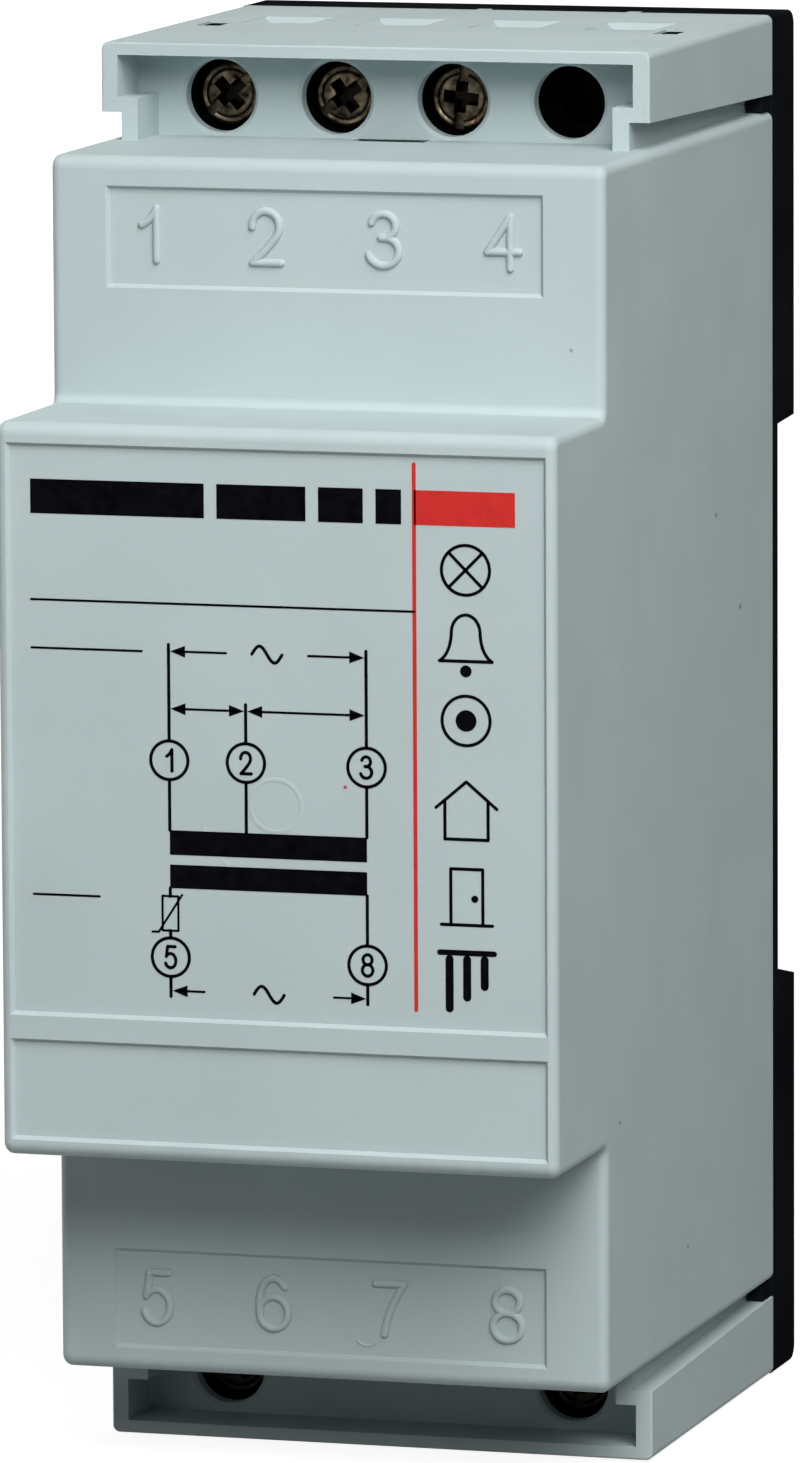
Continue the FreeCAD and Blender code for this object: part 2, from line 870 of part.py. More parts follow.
def make_lead(number, side, setback):
    """Lead from the former's flange, past the core, to the tail of a contact bar."""
    up = 1 if TERMINALS[number][0] == TOP else -1
    x = side * (half_width - wall - flange_gap - lead_inset)
    y = core_centre + setback
    x_end, y_end = solder_line(number, lead_diameter)
    tail = carrier_bottom - bar_tail
    points = [
        Vector(x, y, up * (flange_top + lead_gap)),
        Vector(x, y, up * (lamination_height / 2 + lead_bend)),
        Vector(x_end, y_end, up * (tail - lead_bend)),
        Vector(x_end, y_end, up * (tail + lead_solder)),
    ]
    return bent_rod(points, lead_diameter, lead_bend)


def make_thermistor(number):
    """Disc thermistor between the primary winding and its terminal, with its two legs."""
    x_end, y_end = solder_line(number, ptc_leg_diameter)
    disc_z = -(lamination_height / 2 + ptc_drop + ptc_diameter / 2)
    tail = carrier_bottom - bar_tail
    rim = ptc_diameter / 2
    half = ptc_thickness / 2
    outline = [(0, -half, 0), (rim, -half, ptc_edge), (rim, half, ptc_edge), (0, half, 0)]
    disc = rounded_face(outline, on_xy).revolve(Vector(0, 0, 0), Vector(0, 1, 0), 360)
    disc.translate(Vector(x_end, core_centre, disc_z))
    upper = bent_rod([Vector(x_end, core_centre, disc_z + rim - ptc_edge),
                      Vector(x_end, core_centre, -flange_top - lead_gap)], ptc_leg_diameter, lead_bend)
    lower = bent_rod([Vector(x_end, core_centre + half - ptc_edge, disc_z),
                      Vector(x_end, y_end, disc_z),
                      Vector(x_end, y_end, -tail - lead_solder)], ptc_leg_diameter, lead_bend / 2)
    return fuse_all(disc, [upper, lower])


def build_parts():
    """All pieces of the transformer by node name."""
    parts = {
        "hood": make_hood(),
        "base": make_base(),
        "rail_latch": make_latch(),
        "latch_spring": make_latch_spring(),
        "terminal_carrier_top": make_carrier(TOP),
        "terminal_carrier_bottom": make_carrier(BOTTOM),
        "core_e_stack": make_e_stack(),
        "core_i_stack": make_i_stack(),
        "coil_former": make_former(),
        "primary_winding": make_winding(-1),
        "secondary_winding": make_winding(1),
        "primary_tape": make_tape(-1),
        "secondary_tape": make_tape(1),
        "thermistor": make_thermistor(5),
        "lead_1": make_lead(1, -1, lamination_width / 6),
        "lead_2": make_lead(2, -1, 0),
        "lead_3": make_lead(3, 1, lamination_width / 6),
        "lead_8": make_lead(8, 1, lamination_width / 6),
    }
    screw = make_screw()
    cage = make_cage()
    contact = make_contact()
    for number in TERMINALS:
        parts[f"terminal_screw_{number}"] = at_terminal(screw, number)
        parts[f"clamp_cage_{number}"] = at_terminal(cage, number)
        parts[f"contact_bar_{number}"] = at_terminal(contact, number)
    return parts


def main():
    """Build every piece and write one STEP file for each."""
    os.makedirs("parts", exist_ok=True)
    for name, shape in build_parts().items():
        solid = shape.Solids[0] if len(shape.Solids) == 1 else shape
        print(name, "solids", len(shape.Solids), "valid", shape.isValid(), "volume", round(shape.Volume, 1))
        solid.exportStep(f"parts/{name}.step")


main()
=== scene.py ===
import logging
import math
from dataclasses import dataclass, field
from enum import Enum
from functools import cache

import bmesh
import bpy
import numpy as np
from mathutils import Matrix, Vector


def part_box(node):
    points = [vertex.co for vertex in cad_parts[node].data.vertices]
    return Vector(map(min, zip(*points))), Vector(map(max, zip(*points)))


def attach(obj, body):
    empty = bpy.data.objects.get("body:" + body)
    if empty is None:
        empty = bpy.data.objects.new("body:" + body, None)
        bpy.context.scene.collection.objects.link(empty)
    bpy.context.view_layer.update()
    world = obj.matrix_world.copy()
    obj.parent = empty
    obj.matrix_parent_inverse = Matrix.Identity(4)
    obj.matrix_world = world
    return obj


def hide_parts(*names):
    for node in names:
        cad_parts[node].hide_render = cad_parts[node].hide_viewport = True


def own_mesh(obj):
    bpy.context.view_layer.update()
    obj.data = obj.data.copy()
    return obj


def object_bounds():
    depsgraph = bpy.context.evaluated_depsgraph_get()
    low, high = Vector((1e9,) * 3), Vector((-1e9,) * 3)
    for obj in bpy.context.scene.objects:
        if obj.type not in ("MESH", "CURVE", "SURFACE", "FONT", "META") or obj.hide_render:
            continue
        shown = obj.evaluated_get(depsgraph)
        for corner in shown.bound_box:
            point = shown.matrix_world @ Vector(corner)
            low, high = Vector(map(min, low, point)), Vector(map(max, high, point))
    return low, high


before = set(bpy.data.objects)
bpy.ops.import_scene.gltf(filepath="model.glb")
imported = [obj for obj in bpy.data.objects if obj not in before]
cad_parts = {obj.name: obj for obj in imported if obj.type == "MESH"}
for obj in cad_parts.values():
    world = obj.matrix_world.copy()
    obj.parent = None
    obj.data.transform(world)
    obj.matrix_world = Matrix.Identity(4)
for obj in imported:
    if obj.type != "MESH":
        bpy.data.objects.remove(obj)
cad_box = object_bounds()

# Looks of the doorbell transformer, in the part's own frame and in metres:
# X runs across the width, -Y points out of the front, +Z is up.
# Sizes below are written in millimetres and scaled where they are used. Only the
# studio's floor and lamps and the camera's clipping are in metres.

log = logging.getLogger("doorbell_transformer")

Colour = tuple[float, float, float, float]
Pair = tuple[float, float]
Grid = tuple[np.ndarray, np.ndarray]
Tone = tuple[int, int, int]
Socket = bpy.types.NodeSocket
Tree = bpy.types.NodeTree

MM = 0.001
HOUSING = "housing"
MERGE_DISTANCE = 2e-7
CREASE = 35.0
SOFT_CREASE = 60.0
END_STEPS = 6
ONE_WIDTH = 0.5
WHITE: Colour = (1.0, 1.0, 1.0, 1.0)


def srgb(channels: Tone) -> Colour:
    """Linear shader colour, with full alpha, of screen channels from 0 to 255."""
    share = np.array(channels) / 255.0
    return (*np.where(share <= 0.04045, share / 12.92, ((share + 0.055) / 1.055) ** 2.4).tolist(), 1.0)


def node_corners(node: str) -> Grid:
    """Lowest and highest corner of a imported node, in millimetres."""
    low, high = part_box(node)
    return np.array(low) / MM, np.array(high) / MM


# Curves on a face, as points across and up


def line(start: Pair, end: Pair, count: int = 9) -> np.ndarray:
    """Points of a straight: start + t (end - start), with t from 0 to 1."""
    share = np.linspace(0.0, 1.0, count)[:, None]
    return np.array(start) + share * (np.array(end) - np.array(start))


def arc(centre: Pair, radii: Pair | float, first: float, last: float, count: int = 33) -> np.ndarray:
    """Points of an ellipse's arc: centre + (ru cos a, rv sin a), with a from first to last in degrees."""
    angle = np.radians(np.linspace(first, last, count))
    return np.array(centre) + np.array(radii) * np.stack([np.cos(angle), np.sin(angle)], axis=1)


def ring(centre: Pair, radii: Pair | float, count: int = 48) -> np.ndarray:
    """Points of a whole ellipse, without its first point again at the end."""
    return arc(centre, radii, 0.0, 360.0 * (1 - 1 / count), count)


def bow(start: Pair, pull: Pair, end: Pair) -> np.ndarray:
    """Points of a quadratic curve: (1-t)^2 start + 2t(1-t) pull + t^2 end."""
    t = np.linspace(0.0, 1.0, 21)[:, None]
    return (1 - t) ** 2 * np.array(start) + 2 * t * (1 - t) * np.array(pull) + t**2 * np.array(end)


@dataclass(frozen=True)
class Stroke:
    """Centreline of a bead or a printed line, as points across and up a face."""

    points: np.ndarray
    closed: bool = False

    def placed(self, scale: Pair, centre: Pair) -> "Stroke":
        """The stroke of a unit cell, scaled about the cell's middle and moved to centre."""
        return Stroke((self.points - 0.5) * np.array(scale) + np.array(centre), self.closed)


class StrokeEnd(Enum):
    """How a section closes past the end of its stroke."""

    DOMED = "width and height both fall"
    ROUNDED = "width falls and height stays"


def straights(*corners: Pair) -> list[Stroke]:
    """Straight strokes, one from each corner to the next."""
    return [Stroke(line(start, end)) for start, end in zip(corners, corners[1:])]


def numeral_strokes(numeral: int) -> list[Stroke]:
    """Centrelines of a plain numeral in a cell one wide and one high.

    Args:
        numeral: a figure from 1 to 8.

    Returns:
        Its strokes, each an arc, a straight or a smooth run of both.
    """
    forms = {
        1: [Stroke(bow((0.0, 0.69), (0.62, 0.77), (1.0, 1.0))), *straights((1.0, 1.0), (1.0, 0.0))],
        2: [Stroke(np.concatenate([arc((0.47, 0.71), (0.47, 0.29), 184, -22)[:-1],
                                   bow((0.906, 0.601), (0.80, 0.42), (0.02, 0.0))])),
            *straights((0.02, 0.0), (1.0, 0.0))],
        3: [Stroke(arc((0.46, 0.77), (0.42, 0.23), 165, -100)),
            Stroke(arc((0.46, 0.275), (0.53, 0.275), 100, -165))],
        4: [*straights((0.72, 1.0), (0.0, 0.32), (1.0, 0.32)), *straights((0.72, 1.0), (0.72, 0.0))],
        5: [*straights((0.92, 1.0), (0.20, 1.0), (0.07, 0.53)),
            Stroke(arc((0.47, 0.335), (0.51, 0.335), 142, -158))],
        6: [Stroke(arc((0.52, 0.50), (0.52, 0.50), 42, 200)),
            Stroke(ring((0.50, 0.315), (0.50, 0.315)), True)],
        7: [*straights((0.0, 1.0), (1.0, 1.0)), Stroke(bow((1.0, 1.0), (0.44, 0.56), (0.30, 0.0)))],
        8: [Stroke(ring((0.50, 0.765), (0.43, 0.235)), True),
            Stroke(ring((0.50, 0.270), (0.50, 0.270)), True)],
    }
    return forms[numeral]


# Surfaces, as grids of points with their quads


def grid_quads(rows: int, columns: int, wrap_rows: bool = False) -> np.ndarray:
    """Quads between neighbouring rows of a grid whose columns close on themselves.

    Args:
        rows: number of rings.
        columns: number of points in each ring.
        wrap_rows: whether the last ring joins the first.

    Returns:
        Four point numbers a row, rings counted one after the other.
    """
    row, column = np.meshgrid(np.arange(rows if wrap_rows else rows - 1), np.arange(columns), indexing="ij")
    below, here = (row + 1) % rows * columns, row * columns
    beside = (column + 1) % columns
    return np.stack([here + column, here + beside, below + beside, below + column], axis=-1).reshape(-1, 4)


def stroke_skin(stroke: Stroke, section: np.ndarray, end: StrokeEnd, face: float) -> Grid:
    """Skin of a section carried along a stroke that lies on a front face.

    Each ring is path + across * side, raised by the section's height. Past an open end the ring moves
    on as the sine of an angle while its width falls as the cosine, which gives a round end.

    Args:
        stroke: centreline.
        section: closed loop of (across, height) points.
        end: what falls towards the ends.
        face: Y of the face that the stroke lies on.

    Returns:
        Points in millimetres and quads.
    """
    path = stroke.points
    ahead = np.roll(path, -1, 0) - np.roll(path, 1, 0) if stroke.closed else np.gradient(path, axis=0)
    ahead = ahead / np.linalg.norm(ahead, axis=1, keepdims=True)
    share = np.ones(len(path))
    if not stroke.closed:
        turn = np.linspace(0.0, math.pi / 2, END_STEPS + 1)[1:]
        reach = np.abs(section[:, 0]).max() * np.sin(turn)[:, None]
        path = np.concatenate([path[0] - reach[::-1] * ahead[0], path, path[-1] + reach * ahead[-1]])
        first, last = (np.repeat(ahead[place], END_STEPS, 0) for place in ([0], [-1]))
        ahead = np.concatenate([first, ahead, last])
        share = np.concatenate([np.cos(turn)[::-1], share, np.cos(turn)])
    side = np.stack([-ahead[:, 1], ahead[:, 0]], axis=1)
    across = share[:, None] * section[:, 0]
    place = path[:, None, :] + side[:, None, :] * across[..., None]
    height = section[:, 1] * (share[:, None] if end is StrokeEnd.DOMED else np.ones((len(path), 1)))
    points = np.stack([place[..., 0], face - height, place[..., 1]], axis=-1)
    return points.reshape(-1, 3), grid_quads(len(path), len(section), stroke.closed)


def plate_skin(outline: np.ndarray, face: float, low: float, high: float) -> Grid:
    """Skin of a flat plate on a front face: the outline at both heights, and its middle at both.

    Args:
        outline: points across and up, seen whole from their middle.
        face: Y of the face.
        low, high: heights of the plate's back and front above the face.

    Returns:
        Points in millimetres and quads.
    """
    middle = np.repeat(outline.mean(axis=0, keepdims=True), len(outline), 0)
    flat = np.concatenate([middle, outline, outline, middle])
    height = np.repeat([low, low, high, high], len(outline))
    return np.stack([flat[:, 0], face - height, flat[:, 1]], axis=1), grid_quads(4, len(outline))


def lathe_skin(radius: np.ndarray, depth: np.ndarray, axis: np.ndarray) -> Grid:
    """Skin of a turned form about a line along Y: (ax + r cos a, y, az + r sin a).

    Args:
        radius: radius at each ring and column.
        depth: Y of each ring.
        axis: X and Z of the axis.

    Returns:
        Points in millimetres and quads.
    """
    angle = np.linspace(0.0, 2 * math.pi, radius.shape[1], endpoint=False)
    along = np.broadcast_to(depth[:, None], radius.shape)
    points = np.stack([axis[0] + radius * np.cos(angle), along, axis[1] + radius * np.sin(angle)], axis=-1)
    return points.reshape(-1, 3), grid_quads(*radius.shape)


def smooth(mesh: bpy.types.Mesh, crease: float) -> None:
    """Smooths a mesh, apart from edges past the angle in degrees."""
    mesh.shade_smooth()
    mesh.set_sharp_from_angle(angle=math.radians(crease))


def skin_mesh(name: str, grids: list[Grid], crease: float = CREASE) -> bpy.types.Mesh:
    """Mesh of closed surfaces, with poles merged, faces outwards and sharp edges kept.

    Args:
        name: name of the mesh.
        grids: points in millimetres and quads of each surface.
        crease: angle in degrees past which an edge isn't smoothed.

    Returns:
        The mesh, in metres.
    """
    starts = np.cumsum([0] + [len(points) for points, _ in grids])
    points = np.concatenate([points for points, _ in grids]) * MM
    quads = np.concatenate([quads + start for (_, quads), start in zip(grids, starts)])
    mesh = bpy.data.meshes.new(name)
    mesh.from_pydata(points.tolist(), [], quads.tolist())
    sheet = bmesh.new()
    sheet.from_mesh(mesh)
    bmesh.ops.remove_doubles(sheet, verts=sheet.verts, dist=MERGE_DISTANCE)
    bmesh.ops.recalc_face_normals(sheet, faces=sheet.faces)
    sheet.to_mesh(mesh)
    sheet.free()
    smooth(mesh, crease)
    return mesh


def add_object(name: str, data: bpy.types.ID) -> bpy.types.Object:
    """New object of the scene, at the origin.

    Args:
        name: name of the object.
        data: its mesh, lamp or camera.

    Returns:
        The object.
    """
    made = bpy.data.objects.new(name, data)
    bpy.context.scene.collection.objects.link(made)
    return made


def add_piece(name: str, mesh: bpy.types.Mesh, body: str, finish: str) -> bpy.types.Object:
    """New piece that carries the mesh and moves with a body.

    Args:
        name: name of the piece.
        mesh: its mesh, already in place.
        body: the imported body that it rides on.
        finish: name of its finish.

    Returns:
        The object.
    """
    piece = add_object(name, mesh)
    mesh.materials.append(material(finish))
    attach(piece, body)
    return piece


def add_hood_detail(
    name: str, grids: list[Grid], crease: float = CREASE, finish: str = "hood_plastic"
) -> None:
    """New piece of thin detail that stays with the hood.

    Args:
        name: name of the piece.
        grids: its closed surfaces.
        crease: angle in degrees past which an edge isn't smoothed.
        finish: name of its finish.
    """
    piece = add_piece(name, skin_mesh(name, grids, crease), HOUSING, finish)
    log.info("added %s", name)


# Finishes


class Wiring:
    """Adds nodes to one shader tree and joins them."""

    def __init__(self, tree: Tree) -> None:
        """Keeps the tree."""
        self.tree = tree

    def add(self, kind: str, inputs: dict | None = None, **settings: object) -> bpy.types.Node:
        """New node with its settings made and its inputs fed.

        Args:
            kind: Blender's name of the node type, without its ShaderNode in front.
            inputs: socket name or number, and the socket or value that feeds it.
            settings: the node's own properties.

        Returns:
            The node.
        """
        node = self.tree.nodes.new(f"ShaderNode{kind}")
        for key, value in settings.items():
            setattr(node, key, value)
        for key, value in (inputs or {}).items():
            self.feed(node.inputs[key], value)
        return node

    def feed(self, socket: Socket, value: object) -> None:
        """Links a socket to another one, or sets its value.

        Args:
            socket: the socket to feed.
            value: the socket or value that feeds it.
        """
        if isinstance(value, Socket):
            self.tree.links.new(value, socket)
        else:
            socket.default_value = value

    def maths(self, operation: str, first: object, second: object = 0.0) -> Socket:
        """Output of a Math node on two values."""
        return self.add("Math", {0: first, 1: second}, operation=operation).outputs[0]

    def apart(self, operation: str, first: object, second: object = (0.0, 0.0, 0.0)) -> Socket:
        """Number that a Vector Math node makes of two vectors."""
        return self.add("VectorMath", {0: first, 1: second}, operation=operation).outputs["Value"]

    def ramp(self, value: object, source: tuple = (0.0, 1.0), target: tuple = (0.0, 1.0)) -> Socket:
        """Value carried evenly from the source range to the target range, and held at its ends."""
        labels = ("Value", "From Min", "From Max", "To Min", "To Max")
        return self.add("MapRange", dict(zip(labels, (value, *source, *target)))).outputs["Result"]

    def noise(self, place: object, scale: object, detail: float, roughness: float = 0.55) -> Socket:
        """Output of a Noise Texture node."""
        inputs = {"Vector": place, "Scale": scale, "Detail": detail, "Roughness": roughness}
        return self.add("TexNoise", inputs).outputs[0]

    def blend(self, share: object, first: object, second: object) -> Socket:
        """Colour between first and second, by share."""
        return self.add("Mix", {0: share, 6: first, 7: second}, data_type="RGBA").outputs[2]

    def effect(self, name: str, place: Socket, inputs: dict) -> bpy.types.NodeOutputs:
        """Outputs of a shared group at a place, with its other inputs fed."""
        return self.add("Group", {"Vector": place, **inputs}, node_tree=bpy.data.node_groups[name]).outputs


class SharedEffects:
    """Shader node groups that the finishes place by name, with their own values."""

    SPOT_EDGE = 1.6
    SCUFF_AND_GLINT_CONTRAST = 14.0

    def build(self) -> None:
        """Makes each group once."""
        for make in (self._grain, self._ridges, self._speck, self._scuffs_and_glints, self._sunk):
            make()

    @staticmethod
    def _begin(name: str, inputs: dict[str, str], outputs: tuple[str, ...]) -> tuple[Wiring, dict, dict]:
        """Empty group with named sockets, of which the first is the place.

        Args:
            name: name of the group.
            inputs: names of the further sockets with their kinds.
            outputs: names of the value sockets that it puts out.

        Returns:
            The group's wiring, its input sockets and its output sockets by name.
        """
        tree = bpy.data.node_groups.new(name, "ShaderNodeTree")
        for label, kind in {"Vector": "Vector", **inputs}.items():
            tree.interface.new_socket(label, in_out="INPUT", socket_type=f"NodeSocket{kind}")
        for label in outputs:
            tree.interface.new_socket(label, in_out="OUTPUT", socket_type="NodeSocketFloat")
        source, target = tree.nodes.new("NodeGroupInput"), tree.nodes.new("NodeGroupOutput")
        return Wiring(tree), {s.name: s for s in source.outputs}, {s.name: s for s in target.inputs}

    def _grain(self) -> None:
        """Fine moulded or rolled grain, and a broad mottle for colour and gloss."""
        wiring, given, made = self._begin(
            "surface_grain", {"Grain Scale": "Float", "Mottle Scale": "Float"}, ("Grain", "Mottle"))
        for label, detail in (("Grain", 3.0), ("Mottle", 2.0)):
            wiring.feed(made[label], wiring.noise(given["Vector"], given[f"{label} Scale"], detail))

    def _ridges(self) -> None:
        """Even ridges along one direction: half of one plus the sine of distance over pitch."""
        inputs = {"Direction": "Vector", "Pitch": "Float"}
        wiring, given, made = self._begin("even_ridges", inputs, ("Ridge",))
        distance = wiring.apart("DOT_PRODUCT", given["Vector"], given["Direction"])
        turn = wiring.maths("MULTIPLY", wiring.maths("DIVIDE", distance, given["Pitch"]), 2 * math.pi)
        wiring.feed(made["Ridge"], wiring.ramp(wiring.maths("SINE", turn), (-1.0, 1.0)))

    def _speck(self) -> None:
        """One small round spot: 1 inside the radius round a centre, falling to 0 past it."""
        wiring, given, made = self._begin("single_speck", {"Centre": "Vector", "Radius": "Float"}, ("Mask",))
        distance = wiring.apart("DISTANCE", given["Vector"], given["Centre"])
        mask = wiring.maths("SUBTRACT", self.SPOT_EDGE, wiring.maths("DIVIDE", distance, given["Radius"]))
        wiring.feed(made["Mask"], wiring.ramp(mask))

    def _scuffs_and_glints(self) -> None:
        """Sparse rubbed places on plastic, and on the screws pale patches of passivation colour that are
        partly painted glints: a rough noise above a threshold.
        """
        inputs = {"Scale": "Float", "Threshold": "Float"}
        wiring, given, made = self._begin("scuffs_and_glints", inputs, ("Mask",))
        broad = wiring.noise(given["Vector"], given["Scale"], detail=6.0, roughness=0.75)
        above = wiring.maths("SUBTRACT", broad, given["Threshold"])
        wiring.feed(made["Mask"], wiring.ramp(wiring.maths("MULTIPLY", above, self.SCUFF_AND_GLINT_CONTRAST)))

    def _sunk(self) -> None:
        """Painted shade behind a front plane, for recesses: 0 in front of the near depth, rising to 1 at the
        far depth along Y.
        """
        wiring, given, made = self._begin("painted_recess_shade", {"Near": "Float", "Far": "Float"}, ("Mask",))
        depth = wiring.add("SeparateXYZ", {0: given["Vector"]}).outputs["Y"]
        wiring.feed(made["Mask"], wiring.ramp(depth, (given["Near"], given["Far"])))


class Ridges(Enum):
    """Direction in which a finish repeats, as layers, turns or drawn lines."""

    NONE = (0.0, 0.0, 0.0)
    ACROSS = (1.0, 0.0, 0.0)
    UP = (0.0, 0.0, 1.0)


@dataclass(frozen=True)
class Speck:
    """A small spot on a surface: where it is and how far it reaches, in millimetres."""

    centre: tuple[float, float, float]
    radius: float
    tone: Tone


MOTTLE_RANGE = (0.3, 0.7)
VALLEY_SHADE = (0.45, 0.0)
SCUFF_AND_GLINT_SCALE = 420.0
# near-black tone painted into the screws' slot and cross recess as shade
PAINTED_RECESS_SHADE: Colour = (0.008, 0.0065, 0.005, 1.0)


@dataclass(frozen=True)
class Finish:
    """A material: two tones under a mottle, grain, ridges, gloss and the spots on it."""

    name: str
    base: Tone
    shade: Tone
    roughness: Pair = (0.45, 0.6)
    metallic: float = 0.0
    specular: float = 0.3
    grain: float = 0.25
    grain_depth: float = 0.004
    mottle: float = 9.0
    scuff_and_glint: Tone | None = None
    scuff_and_glint_threshold: float = 0.72
    ridges: Ridges = Ridges.NONE
    ridge_pitch: float = 0.5
    ridge_depth: float = 0.03
    sunk: Pair | None = None
    specks: tuple[Speck, ...] = ()

    def layers(self) -> list[tuple[str, dict, Colour]]:
        """Rubbed places with painted glints, painted recess shade and spots over the base, in that order.

        Returns:
            The effect of each, its inputs and its colour.
        """
        made = []
        if self.scuff_and_glint:
            inputs = {"Scale": SCUFF_AND_GLINT_SCALE, "Threshold": self.scuff_and_glint_threshold}
            made.append(("scuffs_and_glints", inputs, srgb(self.scuff_and_glint)))
        # painted shade: the colour darkens to near black behind the screw head's front
        if self.sunk:
            near, far = self.sunk
            made.append(("painted_recess_shade", {"Near": near * MM, "Far": far * MM}, PAINTED_RECESS_SHADE))
        for spot in self.specks:
            centre = [value * MM for value in spot.centre]
            made.append(("single_speck", {"Centre": centre, "Radius": spot.radius * MM}, srgb(spot.tone)))
        return made

    def material(self) -> bpy.types.Material:
        """Builds the shader of the finish.

        Returns:
            The material.
        """
        made = bpy.data.materials.new(self.name)
        made.use_nodes = True
        wiring = Wiring(made.node_tree)
        place = wiring.add("TexCoord").outputs["Object"]
        scales = {"Grain Scale": 1 / (self.grain * MM), "Mottle Scale": 1 / (self.mottle * MM)}
        grain = wiring.effect("surface_grain", place, scales)
        mottle = wiring.ramp(grain["Mottle"], MOTTLE_RANGE)
        shade = srgb(self.shade)
        colour = wiring.blend(mottle, srgb(self.base), shade)
        height = wiring.maths("MULTIPLY", grain["Grain"], self.grain_depth * MM)
        if self.ridges is not Ridges.NONE:
            repeat = {"Direction": self.ridges.value, "Pitch": self.ridge_pitch * MM}
            ridge = wiring.effect("even_ridges", place, repeat)["Ridge"]
            height = wiring.maths("ADD", height, wiring.maths("MULTIPLY", ridge, self.ridge_depth * MM))
            colour = wiring.blend(wiring.ramp(ridge, target=VALLEY_SHADE), colour, shade)
        for effect, inputs, tone in self.layers():
            colour = wiring.blend(wiring.effect(effect, place, inputs)["Mask"], colour, tone)
        bump = wiring.add("Bump", {"Height": height, "Distance": 1.0, "Strength": 1.0})
        feeds = {"Base Color": colour, "Roughness": wiring.ramp(mottle, target=self.roughness),
                 "Normal": bump.outputs["Normal"], "Metallic": self.metallic,
                 "Specular IOR Level": self.specular}
        for label, value in feeds.items():
            wiring.feed(made.node_tree.nodes["Principled BSDF"].inputs[label], value)
        return made


DIRT: Tone = (96, 104, 105)
FAINT: Tone = (140, 150, 150)

METAL = {"metallic": 1.0, "specular": 0.5}
# sunk: depths in millimetres over which the screws' colour darkens into painted shade in their recess
SCREW = {**METAL, "grain": 0.12, "grain_depth": 0.01, "mottle": 0.7, "sunk": (-24.05, -23.6)}
INK = {"roughness": (0.5, 0.62), "grain": 0.08, "grain_depth": 0.002, "mottle": 0.7}

FINISHES = (
    Finish("hood_plastic", (184, 198, 199), (180, 194, 195), roughness=(0.55, 0.65), specular=0.03,
           grain=0.22, grain_depth=0.009,
           specks=(Speck((17.6, -15.1, 13.5), 0.14, DIRT), Speck((17.6, -9.3, 7.0), 0.16, DIRT),
                   Speck((17.6, -37.9, -21.3), 0.12, DIRT), Speck((17.6, -22.1, -31.8), 0.12, DIRT),
                   Speck((15.5, -40.9, 26.5), 0.1, FAINT), Speck((4.3, -51.6, 0.9), 0.1, (180, 60, 60)))),
    Finish("black_plastic", (19, 22, 25), (27, 30, 32), roughness=(0.5, 0.65), specular=0.0,
           grain=0.4, grain_depth=0.02, scuff_and_glint=(58, 62, 62), scuff_and_glint_threshold=0.75),
    Finish("carrier_plastic", (10, 10, 11), (15, 15, 16), roughness=(0.5, 0.62), specular=0.0,
           grain=0.3, grain_depth=0.006),
    Finish("former_plastic", (205, 203, 192), (190, 187, 174), grain=0.5, grain_depth=0.008),
    Finish("lamination_steel", (104, 107, 112), (58, 58, 60), roughness=(0.35, 0.5), metallic=0.8,
           ridges=Ridges.ACROSS, ridge_depth=0.04),
    Finish("enamelled_copper", (176, 88, 42), (104, 44, 20), roughness=(0.22, 0.35), metallic=0.9,
           ridges=Ridges.UP, ridge_pitch=0.45, ridge_depth=0.09, grain_depth=0.002),
    Finish("tape_film", (220, 184, 70), (202, 160, 48), roughness=(0.18, 0.3), specular=0.5,
           ridges=Ridges.UP, ridge_pitch=4.5, ridge_depth=0.01, grain=2.0, grain_depth=0.02),
    Finish("thermistor_lacquer", (58, 118, 160), (44, 96, 136), roughness=(0.2, 0.35), specular=0.5,
           grain=0.8, grain_depth=0.02),
    Finish("lead_sleeve", (214, 214, 209), (198, 198, 192), roughness=(0.35, 0.5), specular=0.4,
           grain=0.6, grain_depth=0.008),
    # screw steel: pale pinkish patches that are partly passivation colour and partly painted glints
    Finish("screw_steel", (112, 101, 82), (22, 19, 17), roughness=(0.28, 0.5), scuff_and_glint=(168, 124, 104),
           scuff_and_glint_threshold=0.6, **SCREW),
    # darker copy of the screw steel for the lower screws: painted shade, as they sit in the shoulder's shadow
    Finish("shaded_screw_steel", (34, 30, 26), (12, 11, 10), roughness=(0.35, 0.5), **SCREW),
    Finish("cage_steel", (190, 190, 182), (160, 160, 150), roughness=(0.28, 0.42), grain=0.2, mottle=2.5,
           **METAL),
    Finish("contact_brass", (204, 194, 160), (176, 160, 116), roughness=(0.25, 0.4), grain=0.3,
           grain_depth=0.003, mottle=3.0, ridges=Ridges.ACROSS, ridge_pitch=0.09, ridge_depth=0.002, **METAL),
    Finish("spring_steel", (170, 172, 174), (138, 140, 142), roughness=(0.22, 0.36), grain=0.15,
           grain_depth=0.003, mottle=1.5, **METAL),
    Finish("black_ink", (8, 8, 12), (16, 15, 19), specular=0.0, **INK),
    Finish("red_ink", (206, 52, 48), (196, 48, 45), specular=0.03, **INK),
)


@cache
def material(name: str) -> bpy.types.Material:
    """The material of a finish, built once."""
    return next(finish for finish in FINISHES if finish.name == name).material()


# Pieces


def bead_section(half_width: float, rise: float, sink: float) -> np.ndarray:
    """Closed loop of a moulded bead: half an ellipse above the face and a flat foot below it."""
    round_side = arc((0.0, 0.0), (half_width, rise), 0.0, 180.0, 13)
    return np.concatenate([round_side, [[-half_width, -sink], [half_width, -sink]]])


def ink_section(width: float, film: float, sink: float) -> np.ndarray:
    """Closed loop of a printed line: a flat film with its foot just inside the face."""
    half = width / 2
    return np.array([[half, -sink], [half, film], [-half, film], [-half, -sink]])


def terminal_pitch() -> float:
    """Distance from one terminal to the next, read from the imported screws."""
    first, second = (node_corners(f"terminal_screw_{n}")[0][0] for n in (1, 2))
    return second - first


